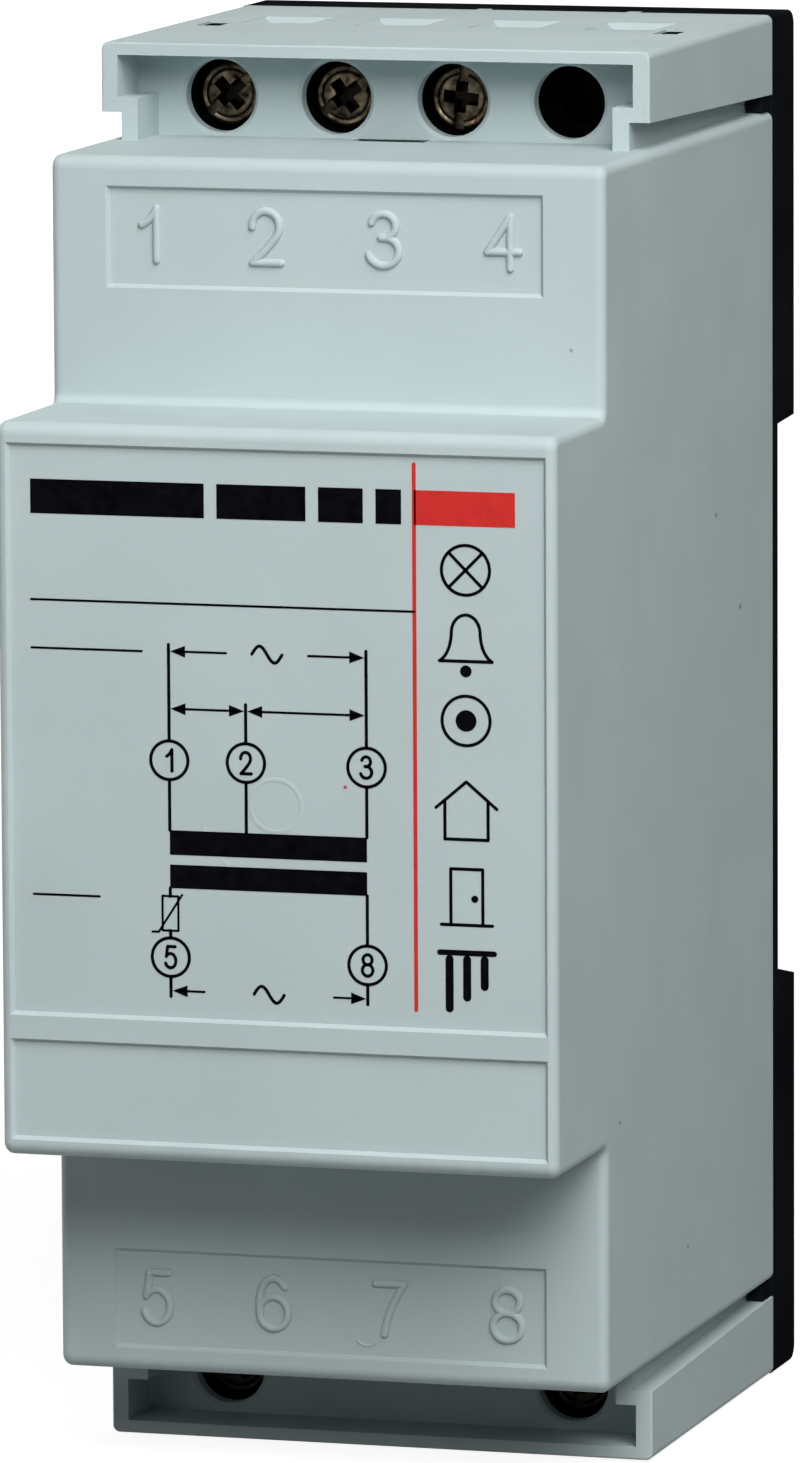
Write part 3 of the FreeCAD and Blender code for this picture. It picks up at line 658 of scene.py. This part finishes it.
@dataclass
class RaisedNumerals:
    """Moulded terminal numbers in the sunk fields over and under the nose."""

    field_face: float = -40.6
    height: float = 3.15
    width: float = 1.84
    half_stroke: float = 0.25
    rise: float = 0.26
    foot: float = 0.06
    field_height: float = 33.0
    shift: float = -0.08
    shares: dict[int, float] = field(default_factory=lambda: {1: ONE_WIDTH, 4: 1.09, 5: 0.9})

    def build(self) -> None:
        """Makes one bead piece for each number, 1 to 4 above and 5 to 8 below."""
        pitch = terminal_pitch()
        section = bead_section(self.half_stroke, self.rise, self.foot)
        for numeral in range(1, 9):
            step, row = (numeral - 1) % 4, 1 if numeral < 5 else -1
            centre = ((step - 1.5) * pitch + self.shift, row * self.field_height + self.shift)
            scale = (self.width * self.shares.get(numeral, 1.0), self.height)
            grids = [stroke_skin(stroke.placed(scale, centre), section, StrokeEnd.DOMED, self.field_face)
                     for stroke in numeral_strokes(numeral)]
            add_hood_detail(f"numeral_{numeral}", grids, SOFT_CREASE)


@dataclass
class GateMark:
    """Witness marks of the mould: a ring and an arc in the label field, a crescent in the lower field."""

    face: float = -51.6
    low_face: float = -40.6
    crescent: Pair = (2.15, -35.0)
    crescent_radii: Pair = (0.6, 0.45)
    crescent_span: Pair = (200.0, 340.0)
    crescent_bead: Pair = (0.1, 0.08)
    centre: Pair = (-0.1, -0.4)
    ring_radius: float = 1.6
    arc_radius: float = 4.83
    arc_span: Pair = (198.0, 280.0)
    bead: Pair = (0.14, 0.018)
    foot: float = 0.02

    def build(self) -> None:
        """Makes the marks as one low bead piece."""
        crescent = Stroke(arc(self.crescent, self.crescent_radii, *self.crescent_span, 17))
        small = Stroke(ring(self.centre, self.ring_radius), closed=True)
        wide = Stroke(arc(self.centre, self.arc_radius, *self.arc_span))
        marks = ((crescent, self.crescent_bead, self.low_face), (small, self.bead, self.face),
                 (wide, self.bead, self.face))
        grids = [stroke_skin(stroke, bead_section(*bead, self.foot), StrokeEnd.DOMED, face)
                 for stroke, bead, face in marks]
        add_hood_detail("gate_mark", grids, SOFT_CREASE)


@dataclass
class EntrySlopes:
    """Lead-in slopes along both sides of the wire entries, at the top and bottom ends of the hood."""

    end: float = 43.8
    rear: float = -9.65
    front: float = -15.05
    width: float = 4.4
    slope: float = 0.4
    fall: float = 1.4
    foot: float = 0.02
    upper: tuple[float, ...] = (-1.5, -0.5, 0.5, 1.5)
    lower: tuple[float, ...] = (-1.5, 1.5)

    def build(self) -> None:
        """Carries a three-cornered profile along each side of each entry, as one piece."""
        grids = []
        pitch, top = terminal_pitch(), self.end - self.foot / 2
        for way, step in [(1, step) for step in self.upper] + [(-1, step) for step in self.lower]:
            for side in (-1, 1):
                wall = step * pitch + side * (self.width / 2 + self.foot)
                reach = wall - side * (self.slope + self.foot)
                low = top - self.fall * self.slope
                profile = np.array([[wall, top], [wall, low], [reach, top - self.slope]])
                grids.append(plate_skin(profile * (1, way), 0.0, -self.rear, -self.front))
        add_hood_detail("entry_slopes", grids)


class Ink(Enum):
    """Colours of the print."""

    BLACK = "black_ink"
    RED = "red_ink"


@dataclass(frozen=True)
class Sign:
    """A plain sign about its own middle: a circle, a curve, chains of straights and a disc."""

    height: float
    chains: tuple[tuple[Pair, ...], ...] = ()
    widths: tuple[float, ...] = (0.0, 0.0)
    circle: float | None = None
    curve: np.ndarray | None = None
    disc: tuple[Pair, float] | None = None


LAMP = Sign(14.3, (((-1.06, 1.06), (1.06, -1.06)), ((-1.06, -1.06), (1.06, 1.06))), circle=1.5)
BELL = Sign(9.8, (((-1.65, -1.0), (1.65, -1.0)),), disc=((0.0, -1.6), 0.36), curve=np.concatenate([
    bow((-1.65, -1.0), (-1.0, -0.6), (-0.9, 0.6)), arc((0.0, 0.7), (0.9, 1.1), 180, 0),
    bow((0.9, 0.6), (1.0, -0.6), (1.65, -1.0))]))
BUTTON = Sign(5.2, circle=1.5, disc=((0.0, 0.0), 0.65))
HOUSE = Sign(-0.1, (((-1.9, 0.0), (0.0, 1.6), (1.9, 0.0)),
                    ((-1.35, 0.35), (-1.35, -1.9), (1.35, -1.9), (1.35, 0.35))))
DOOR = Sign(-5.5, (((-1.0, -1.7), (-1.0, 1.7), (1.0, 1.7), (1.0, -1.7)), ((-1.6, -1.7), (1.6, -1.7))),
            disc=((0.5, -0.1), 0.22))
CHIME = Sign(-10.5, (((-1.7, 1.6), (1.7, 1.6)), ((-1.1, 1.2), (-1.1, -1.8)), ((0.0, 1.2), (0.0, -1.1)),
                     ((1.1, 1.2), (1.1, -0.4))), widths=(0.34, 0.5, 0.5, 0.5))
SIGNS = (LAMP, BELL, BUTTON, HOUSE, DOOR, CHIME)


@dataclass
class PrintedDiagram:
    """Plain wiring diagram printed on the label field, as thin films of ink."""

    face: float = -51.6
    film: float = 0.02
    foot: float = 0.02
    thin: float = 0.2
    fine: float = 0.14
    left: float = -15.5
    rule: float = 8.7
    rule_ends: Pair = (-12.5, 20.6)
    rule_width: float = 0.24
    band: Pair = (16.95, 19.05)
    bars: tuple[float, ...] = (11.0, 5.6, 2.8, 1.6)
    bar_gap: float = 0.8
    red_bar: float = 6.3
    lines: tuple[Pair, ...] = ((8.7, 11.7), (-8.5, 8.75), (-11.3, -6.35))
    first: float = -6.8
    middle: float = -1.95
    last: float = 5.65
    upper_circles: float = 2.15
    lower_circles: float = -9.9
    long_span: float = 8.8
    short_span: float = 5.3
    foot_span: float = -11.95
    upper_winding: Pair = (-3.62, -2.12)
    lower_winding: Pair = (-5.66, -4.22)
    sign_column: float = 11.9
    circle: float = 1.18
    figure: Pair = (0.66, 1.3)
    arrow_head: Pair = (0.95, 0.36)
    arrow_gap: float = 0.1
    span_gap: float = 0.5
    wave: Pair = (1.9, 0.5)
    long_gap: float = 5.2
    foot_gap: float = 8.2
    lead_over: float = 0.4
    lead_under: float = 0.35
    limiter_half: float = 0.5
    limiter_inset: Pair = (0.45, 0.5)
    limiter_slant: Pair = (0.75, 0.1)
    limiter_tail: float = 1.15

    def __post_init__(self) -> None:
        """Starts an empty film for each colour."""
        self.films: dict[Ink, list[Grid]] = {ink: [] for ink in Ink}

    def draw(
        self, points: np.ndarray, width: float = 0.0, closed: bool = False, ink: Ink = Ink.BLACK
    ) -> None:
        """Prints a line along the points, of the usual width where none is given."""
        section = ink_section(width or self.thin, self.film, self.foot)
        self.films[ink].append(stroke_skin(Stroke(points, closed), section, StrokeEnd.ROUNDED, self.face))

    def chain(self, *corners: Pair, width: float = 0.0, at: Pair = (0.0, 0.0)) -> None:
        """Prints a straight from each corner to the next, with the corners counted from a place."""
        for stroke in straights(*(np.array(corners) + at)):
            self.draw(stroke.points, width)

    def circled(self, centre: Pair, radius: float) -> None:
        """Prints a circle."""
        self.draw(ring(centre, radius), closed=True)

    def fill(self, outline: np.ndarray, ink: Ink = Ink.BLACK) -> None:
        """Prints a solid shape."""
        self.films[ink].append(plate_skin(outline, self.face, -self.foot, self.film))

    def block(self, left: float, right: float, ends: Pair, ink: Ink = Ink.BLACK) -> None:
        """Prints a solid bar from left to right, between its lower and upper end."""
        low, high = ends
        self.fill(np.array([[left, low], [right, low], [right, high], [left, high]]), ink)

    def arrow(self, x: float, z: float, way: float) -> None:
        """Prints an arrow head that points along X, right or left by the sign of way."""
        length, half = self.arrow_head
        self.fill(np.array([[x, z], [x - way * length, z - half], [x - way * length, z + half]]))

    def numbered(self, numeral: int, centre: Pair) -> None:
        """Prints a terminal number in a circle.

        Args:
            numeral: terminal number.
            centre: middle of the circle.
        """
        self.circled(centre, self.circle)
        scale = (self.figure[0] * (ONE_WIDTH if numeral == 1 else 1.0), self.figure[1])
        for stroke in numeral_strokes(numeral):
            self.draw(stroke.placed(scale, centre).points, closed=stroke.closed)

    def span(self, low: float, high: float, height: float, gap: float = 0.0) -> None:
        """Prints a line between two leads with an arrow head at each end.

        Args:
            low, high: X of the leads.
            height: Z of the line.
            gap: length left open in the middle, which holds one period of a sine as the sign for
                alternating current.
        """
        centre = (low + high) / 2
        self.arrow(low + self.arrow_gap, height, -1.0)
        self.arrow(high - self.arrow_gap, height, 1.0)
        stops = [low + self.span_gap, centre - gap / 2, centre + gap / 2, high - self.span_gap]
        if not gap:
            del stops[1:3]
        for start, end in zip(stops[::2], stops[1::2]):
            self.chain((start, height), (end, height), width=self.fine)
        if gap:
            share = np.linspace(-0.5, 0.5, 25)
            length, rise = self.wave
            heights = height - rise * np.sin(2 * math.pi * share)
            self.draw(np.stack([centre + length * share, heights], axis=1))

    def header(self) -> None:
        """Prints the band of plain black bars, the red block, the red rule and the thin lines."""
        edge = self.left
        for width in self.bars:
            self.block(edge, edge + width, self.band)
            edge += width + self.bar_gap
        self.block(self.rule, self.rule + self.red_bar, self.band, Ink.RED)
        low, high = self.rule_ends
        self.draw(line((self.rule, low), (self.rule, high)), self.rule_width, ink=Ink.RED)
        for end, height in self.lines:
            self.chain((self.left, height), (end, height), width=self.fine)

    def windings(self) -> None:
        """Prints the transformer sign: both windings as bars, with the leads to their numbered terminals."""
        for ends in (self.upper_winding, self.lower_winding):
            self.block(self.first, self.last, ends)
        for numeral, x in ((1, self.first), (2, self.middle), (3, self.last)):
            self.numbered(numeral, (x, self.upper_circles))
            self.chain((x, self.upper_winding[1]), (x, self.upper_circles - self.circle))
            reach = self.short_span if numeral == 2 else self.long_span
            self.chain((x, self.upper_circles + self.circle), (x, reach + self.lead_over))
        for numeral, x in ((5, self.first), (8, self.last)):
            self.numbered(numeral, (x, self.lower_circles))
            self.chain((x, self.foot_span - self.lead_under), (x, self.lower_circles - self.circle))
        low, high = self.lower_circles + self.circle, self.lower_winding[0]
        self.chain((self.last, low), (self.last, high))
        self.limiter(self.first, low, high)
        self.span(self.first, self.last, self.long_span, self.long_gap)
        self.span(self.first, self.middle, self.short_span)
        self.span(self.middle, self.last, self.short_span)
        self.span(self.first, self.last, self.foot_span, self.foot_gap)

    def limiter(self, x: float, low: float, high: float) -> None:
        """Prints the sign of a resistor that limits the current: a box crossed by a slanted line.

        Args:
            x: the lead that it stands in.
            low, high: ends of that lead.
        """
        left, right = x - self.limiter_half, x + self.limiter_half
        foot, head = low + self.limiter_inset[0], high - self.limiter_inset[1]
        aside, past = self.limiter_slant
        self.chain((x, low), (x, foot))
        self.chain((x, head), (x, high))
        self.chain((left, foot), (right, foot), (right, head), (left, head), (left, foot), width=self.fine)
        self.chain((x - aside, foot - past), (x + aside, head + past), width=self.fine)
        self.chain((x - self.limiter_tail, foot - past), (x - aside, foot - past), width=self.fine)

    def signs(self) -> None:
        """Prints a column of plain signs for what the part is used with."""
        for sign in SIGNS:
            at = np.array([self.sign_column, sign.height])
            if sign.circle:
                self.circled(at, sign.circle)
            if sign.curve is not None:
                self.draw(sign.curve + at)
            for corners, width in zip(sign.chains, sign.widths):
                self.chain(*corners, width=width, at=at)
            if sign.disc:
                self.fill(ring(at + sign.disc[0], sign.disc[1]))

    def build(self) -> None:
        """Prints everything and makes one piece of each colour."""
        for part in (self.header, self.windings, self.signs):
            part()
        for ink, grids in self.films.items():
            add_hood_detail(f"print_{ink.name.lower()}", grids, finish=ink.value)


@dataclass
class TerminalScrew:
    """Terminal screw with a domed and grooved head, a slot with a cross recess and a cut thread."""

    number: int
    turned: float
    finish: str
    edge: float = 0.25
    dome: float = 0.12
    groove: tuple[float, float, float] = (0.78, 0.09, 0.08)
    head_height: float = 1.9
    crest: float = 1.5
    root: float = 1.18
    pitch: float = 0.6
    tip: float = 0.5
    tip_share: float = 0.25
    columns: int = 72
    rings: tuple[int, int, int] = (28, 6, 76)
    slot_width: float = 0.62
    slot_depth: float = 0.5
    slot_reach: float = 0.6
    cross_reach: float = 1.25
    cross_width: float = 0.86
    cross_depth: float = 1.2
    cross_taper: float = 0.6
    cutter_lead: float = 0.3

    def node(self) -> str:
        """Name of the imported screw."""
        return f"terminal_screw_{self.number}"

    def corners(self) -> Grid:
        """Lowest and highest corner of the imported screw."""
        return node_corners(self.node())

    def axis(self) -> np.ndarray:
        """X and Z of the screw's axis."""
        low, high = self.corners()
        return (low + high)[[0, 2]] / 2

    def body(self) -> Grid:
        """Turned body: dome, rim, head, neck and a thread whose crest winds round the axis.

        The dome falls with the square of the radius and has a round groove, a bell curve of the radius.
        The shank's radius is root + (crest - root) times a triangle wave of (y / pitch - angle / 360),
        run out towards the tip.

        Returns:
            The closed skin.
        """
        low, high = self.corners()
        head = (high[0] - low[0]) / 2
        front, tip = low[1], high[1]
        neck, flat = front + self.head_height, head - self.edge
        dome_rings, rim_rings, shank_rings = self.rings
        inner = np.linspace(0.0, flat, dome_rings)
        place, width, sink = self.groove
        bell = sink * np.exp(-(((inner - place * head) / width) ** 2))
        sweep = np.radians(np.linspace(90.0, 0.0, rim_rings))
        radius = np.concatenate([inner, flat + self.edge * np.cos(sweep), [head, self.crest]])
        depth = np.concatenate([front + self.dome * (inner / flat) ** 2 + bell,
                                front + self.dome + self.edge * (1 - np.sin(sweep)), [neck, neck]])
        along = np.linspace(neck, tip, shank_rings)
        angle = np.linspace(0.0, 1.0, self.columns, endpoint=False)
        phase = np.mod(along[:, None] / self.pitch - angle, 1.0)
        ramp = np.clip((tip - along) / self.tip, self.tip_share, 1.0)[:, None]
        shank = (self.root + (self.crest - self.root) * np.abs(2 * phase - 1)) * ramp
        upper = np.repeat(radius[:, None], self.columns, 1)
        radii = np.concatenate([upper, shank, np.zeros((1, self.columns))])
        return lathe_skin(radii, np.concatenate([depth, along, [tip]]), self.axis())

    def cutter(self, outline: np.ndarray, depth: float, taper: float) -> Grid:
        """Cutter of one outline that narrows inwards, turned about the screw's axis.

        Args:
            outline: its points across and up, about the axis.
            depth: how deep it reaches into the head.
            taper: share of the outline that is left at that depth.

        Returns:
            The closed skin.
        """
        turn = math.radians(self.turned)
        spin = np.array([[math.cos(turn), -math.sin(turn)], [math.sin(turn), math.cos(turn)]])
        flat = np.concatenate([outline * share for share in (0.0, 1.0, taper, 0.0)]) @ spin.T + self.axis()
        front = self.corners()[0][1]
        along = np.repeat([front - self.cutter_lead] * 2 + [front + depth] * 2, len(outline))
        return np.stack([flat[:, 0], along, flat[:, 1]], axis=1), grid_quads(4, len(outline))

    def cutters(self) -> list[Grid]:
        """Cutters of the head: a bar for the slot, and a cross with one pair of arms along it.

        Returns:
            The closed skin of each.
        """
        low, high = self.corners()
        across, up = (high[0] - low[0]) * self.slot_reach, self.slot_width / 2
        bar = np.array([[-across, -up], [across, -up], [across, up], [-across, up]])
        far, near = self.cross_reach, self.cross_width / 2
        arm = np.array([[far, -near], [far, near], [near, near]])
        quarter = np.array([[0.0, 1.0], [-1.0, 0.0]])
        cross = np.concatenate([arm @ np.linalg.matrix_power(quarter, turn) for turn in range(4)])
        return [self.cutter(bar, self.slot_depth, 1.0),
                self.cutter(cross, self.cross_depth, self.cross_taper)]

    def build(self) -> None:
        """Makes the screw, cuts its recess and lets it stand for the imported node."""
        name = f"cut_screw_{self.number}"
        blank = add_object(name, skin_mesh(name, [self.body()]))
        cutters = [add_object("recess_cutter", skin_mesh("recess_cutter", [grid])) for grid in self.cutters()]
        for cutter in cutters:
            cut = blank.modifiers.new("recess", "BOOLEAN")
            cut.operation, cut.solver, cut.object = "DIFFERENCE", "EXACT", cutter
        bpy.context.view_layer.update()
        mesh = bpy.data.meshes.new_from_object(blank.evaluated_get(bpy.context.evaluated_depsgraph_get()))
        for thing in (blank, *cutters):
            bpy.data.objects.remove(thing)
        mesh.materials.clear()
        smooth(mesh, CREASE)
        piece = add_piece(name, mesh, f"screw_{self.number}", self.finish)
        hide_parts(self.node())
        log.info("cut %s with %d faces", name, len(mesh.polygons))


@dataclass
class LatchSpring:
    """Serpentine wire spring that pushes the rail latch up; the real spring shortens as the latch is drawn
    down, and the piece keeps one length.
    """

    wire: float = 0.5
    runs: int = 6
    bend: float = 0.45
    columns: int = 16
    travel: float = 2.6

    def path(self, low: np.ndarray, high: np.ndarray) -> np.ndarray:
        """Centreline: straight runs joined by two quarter arcs, each run the mirror of the one below.

        Args:
            low, high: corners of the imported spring.

        Returns:
            Points as X and Z.
        """
        span = (high[0] - low[0] - self.wire) / 2
        rise = (high[2] - low[2] - self.wire) / (self.runs - 1)
        bend = self.bend * rise
        unit = np.concatenate([
            line((bend - span, 0.0), (span - bend, 0.0)),
            arc((span - bend, bend), bend, -90.0, 0.0, 9)[1:],
            arc((span - bend, rise - bend), bend, 0.0, 90.0, 9)[:-1],
        ])
        bends = [unit * ((-1) ** run, 1) + (0.0, run * rise) for run in range(self.runs - 1)]
        last, height = (-1) ** (self.runs - 1), (self.runs - 1) * rise
        top = line((last * (bend - span), height), (last * span, height))
        lead = line((-span, 0.0), (bend - span, 0.0), 3)[:-1]
        return np.concatenate([lead, *bends, top]) + (0.0, low[2] + self.wire / 2)

    def build(self) -> None:
        """Carries the wire's round section along the path, hangs the wire on the housing and lets it stand
        for the imported spring.
        """
        low, high = node_corners("latch_spring")
        depth = (low[1] + high[1]) / 2
        section = ring((0.0, 0.0), self.wire / 2, self.columns)
        wire = stroke_skin(Stroke(self.path(low, high)), section, StrokeEnd.DOMED, depth)
        mesh = skin_mesh("latch_wire", [wire], SOFT_CREASE)
        piece = add_piece("latch_wire", mesh, HOUSING, "spring_steel")
        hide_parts("latch_spring")
        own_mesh(piece)
        log.info("wound latch_wire")


class PackedNodes:
    """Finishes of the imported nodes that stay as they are."""

    def dress(self) -> None:
        """Gives each node the finish that is named by its material slot."""
        for name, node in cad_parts.items():
            for place in node.material_slots:
                place.material = material(place.material.name.split(".")[0])
            log.info("dressed %s", name)


# Studio


@dataclass(frozen=True)
class SoftLamp:
    """A square soft light that faces the object from a direction."""

    name: str
    way: tuple[float, float, float]
    distance: float
    size: float
    power: float

    def build(self) -> None:
        """Hangs the lamp and turns it to the middle of the object."""
        data = bpy.data.lights.new(self.name, "AREA")
        data.shape, data.size, data.energy = "SQUARE", self.size, self.power
        lamp = add_object(self.name, data)
        back = Vector(self.way).normalized()
        lamp.location = back * self.distance
        lamp.rotation_mode = "QUATERNION"
        lamp.rotation_quaternion = back.to_track_quat("Z", "Y")


@dataclass(frozen=True)
class PhotoCamera:
    """Camera at the photograph's viewing angle, for a picture of 800 by 1463."""

    yaw: float = 16.62
    pitch: float = 7.96
    roll: float = -0.29
    focal: float = 11944.0
    picture_height: float = 1463.0
    sensor: float = 36.0
    aside: float = -7.31
    above: float = -2.82
    distance: float = 769.34
    clip: Pair = (0.05, 20.0)

    def build(self) -> None:
        """Places the camera by its angles: forward from yaw and pitch, then right and up turned by roll."""
        yaw, pitch, roll = map(math.radians, (self.yaw, self.pitch, self.roll))
        ahead = math.cos(pitch)
        forward = Vector((-math.sin(yaw) * ahead, math.cos(yaw) * ahead, -math.sin(pitch)))
        level = Vector((math.cos(yaw), math.sin(yaw), 0.0))
        plumb = level.cross(forward)
        right = math.cos(roll) * level + math.sin(roll) * plumb
        up = math.cos(roll) * plumb - math.sin(roll) * level
        data = bpy.data.cameras.new("photo_camera")
        data.sensor_fit, data.sensor_height = "VERTICAL", self.sensor
        data.lens = self.focal / self.picture_height * self.sensor
        data.clip_start, data.clip_end = self.clip
        camera = add_object("photo_camera", data)
        place = (right * self.aside + up * self.above - forward * self.distance) * MM
        turn = Matrix((right, up, -forward)).transposed()
        camera.matrix_world = Matrix.Translation(place) @ turn.to_4x4()
        bpy.context.scene.camera = camera


@dataclass
class Studio:
    """Pale floor, white surroundings, soft lamps and the camera."""

    floor_size: float = 6.0
    floor_gap: float = 0.0002
    floor_glow: float = 0.9
    floor_tone: Colour = (0.24, 0.24, 0.24, 1.0)
    floor_reach: Pair = (0.1, 0.4)
    ambient: float = 0.015
    lamps: tuple[SoftLamp, ...] = (
        SoftLamp("key_lamp", (0.53, -1.0, 0.95), 0.45, 0.34, 2.5),
        SoftLamp("fill_lamp", (-0.6, -1.0, 0.3), 1.5, 0.8, 1.2),
        SoftLamp("top_lamp", (0.1, -0.2, 1.0), 1.5, 0.8, 1.2),
        SoftLamp("left_lamp", (-1.0, 0.15, 0.12), 1.5, 0.5, 6.0),
        SoftLamp("back_lamp", (-0.75, 1.0, 0.05), 1.5, 0.3, 16.0),
        SoftLamp("low_lamp", (0.0, 0.4, -1.0), 1.5, 0.8, 2.5),
    )

    def _seen_rays(self, wiring: Wiring) -> Socket:
        """One for camera, glossy and transmission rays, nought for the rays that light the object.

        Args:
            wiring: the tree that it is added to.

        Returns:
            The value.
        """
        path = wiring.add("LightPath").outputs
        seen = wiring.maths("MAXIMUM", path["Is Camera Ray"], path["Is Glossy Ray"])
        return wiring.maths("MAXIMUM", seen, path["Is Transmission Ray"])

    def _floor_material(self) -> bpy.types.Material:
        """Pale floor that glows for the rays that are seen, up to white away from the object.

        It is clear from below and for the light of the lamp under it, so that the underside can be seen.

        Returns:
            The material.
        """
        made = bpy.data.materials.new("pale_floor")
        made.use_nodes = True
        made.node_tree.nodes.clear()
        wiring = Wiring(made.node_tree)
        away = wiring.apart("LENGTH", wiring.add("TexCoord").outputs["Object"])
        paler = wiring.ramp(away, self.floor_reach, (self.floor_glow, 1.0))
        glow = wiring.maths("MULTIPLY", self._seen_rays(wiring), paler)
        shine = wiring.add("Emission", {"Color": WHITE, "Strength": glow})
        tone = wiring.add("BsdfDiffuse", {"Color": self.floor_tone})
        both = wiring.add("AddShader", {0: shine.outputs[0], 1: tone.outputs[0]})
        below = wiring.add("NewGeometry").outputs["Backfacing"]
        shadow = wiring.add("LightPath").outputs["Is Shadow Ray"]
        clear = wiring.add("BsdfTransparent")
        side = wiring.add("MixShader", {0: wiring.maths("MAXIMUM", below, shadow), 1: both.outputs[0],
                                        2: clear.outputs[0]})
        wiring.add("OutputMaterial", {"Surface": side.outputs[0]})
        return made

    def floor(self) -> None:
        """Lays the floor just under the object."""
        low = cad_box[0].z - self.floor_gap
        half = self.floor_size / 2
        mesh = bpy.data.meshes.new("floor")
        corners = [(-half, -half, low), (half, -half, low), (half, half, low), (-half, half, low)]
        mesh.from_pydata(corners, [], [(0, 1, 2, 3)])
        mesh.materials.append(self._floor_material())
        floor = add_object("floor", mesh)

    def surroundings(self) -> None:
        """White for the rays that are seen, and a low even light for the rest."""
        world = bpy.data.worlds.new("studio")
        world.use_nodes = True
        wiring = Wiring(world.node_tree)
        background = world.node_tree.nodes["Background"].inputs
        background["Color"].default_value = WHITE
        wiring.feed(background["Strength"], wiring.ramp(self._seen_rays(wiring), target=(self.ambient, 1.0)))
        bpy.context.scene.world = world

    def build(self) -> None:
        """Sets the studio up."""
        self.floor()
        self.surroundings()
        for lamp in self.lamps:
            lamp.build()
        PhotoCamera().build()
        bpy.context.scene.view_settings.view_transform = "Standard"
        log.info("set up the studio")


# screws 5 and 8 take the darker copy of the screw steel, which paints the shade they sit in
SCREWS = (TerminalScrew(1, 42.0, "screw_steel"), TerminalScrew(2, 36.0, "screw_steel"),
          TerminalScrew(3, 84.0, "screw_steel"), TerminalScrew(5, 35.0, "shaded_screw_steel"),
          TerminalScrew(8, 80.0, "shaded_screw_steel"))


def main() -> None:
    """Makes the effects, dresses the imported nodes, adds the pieces in order and sets up the studio."""
    logging.basicConfig(level=logging.INFO, format="%(name)s: %(message)s")
    SharedEffects().build()
    PackedNodes().dress()
    for piece in (RaisedNumerals(), EntrySlopes(), GateMark(), PrintedDiagram(), *SCREWS, LatchSpring()):
        piece.build()
    Studio().build()


if __name__ == "__main__":
    main()
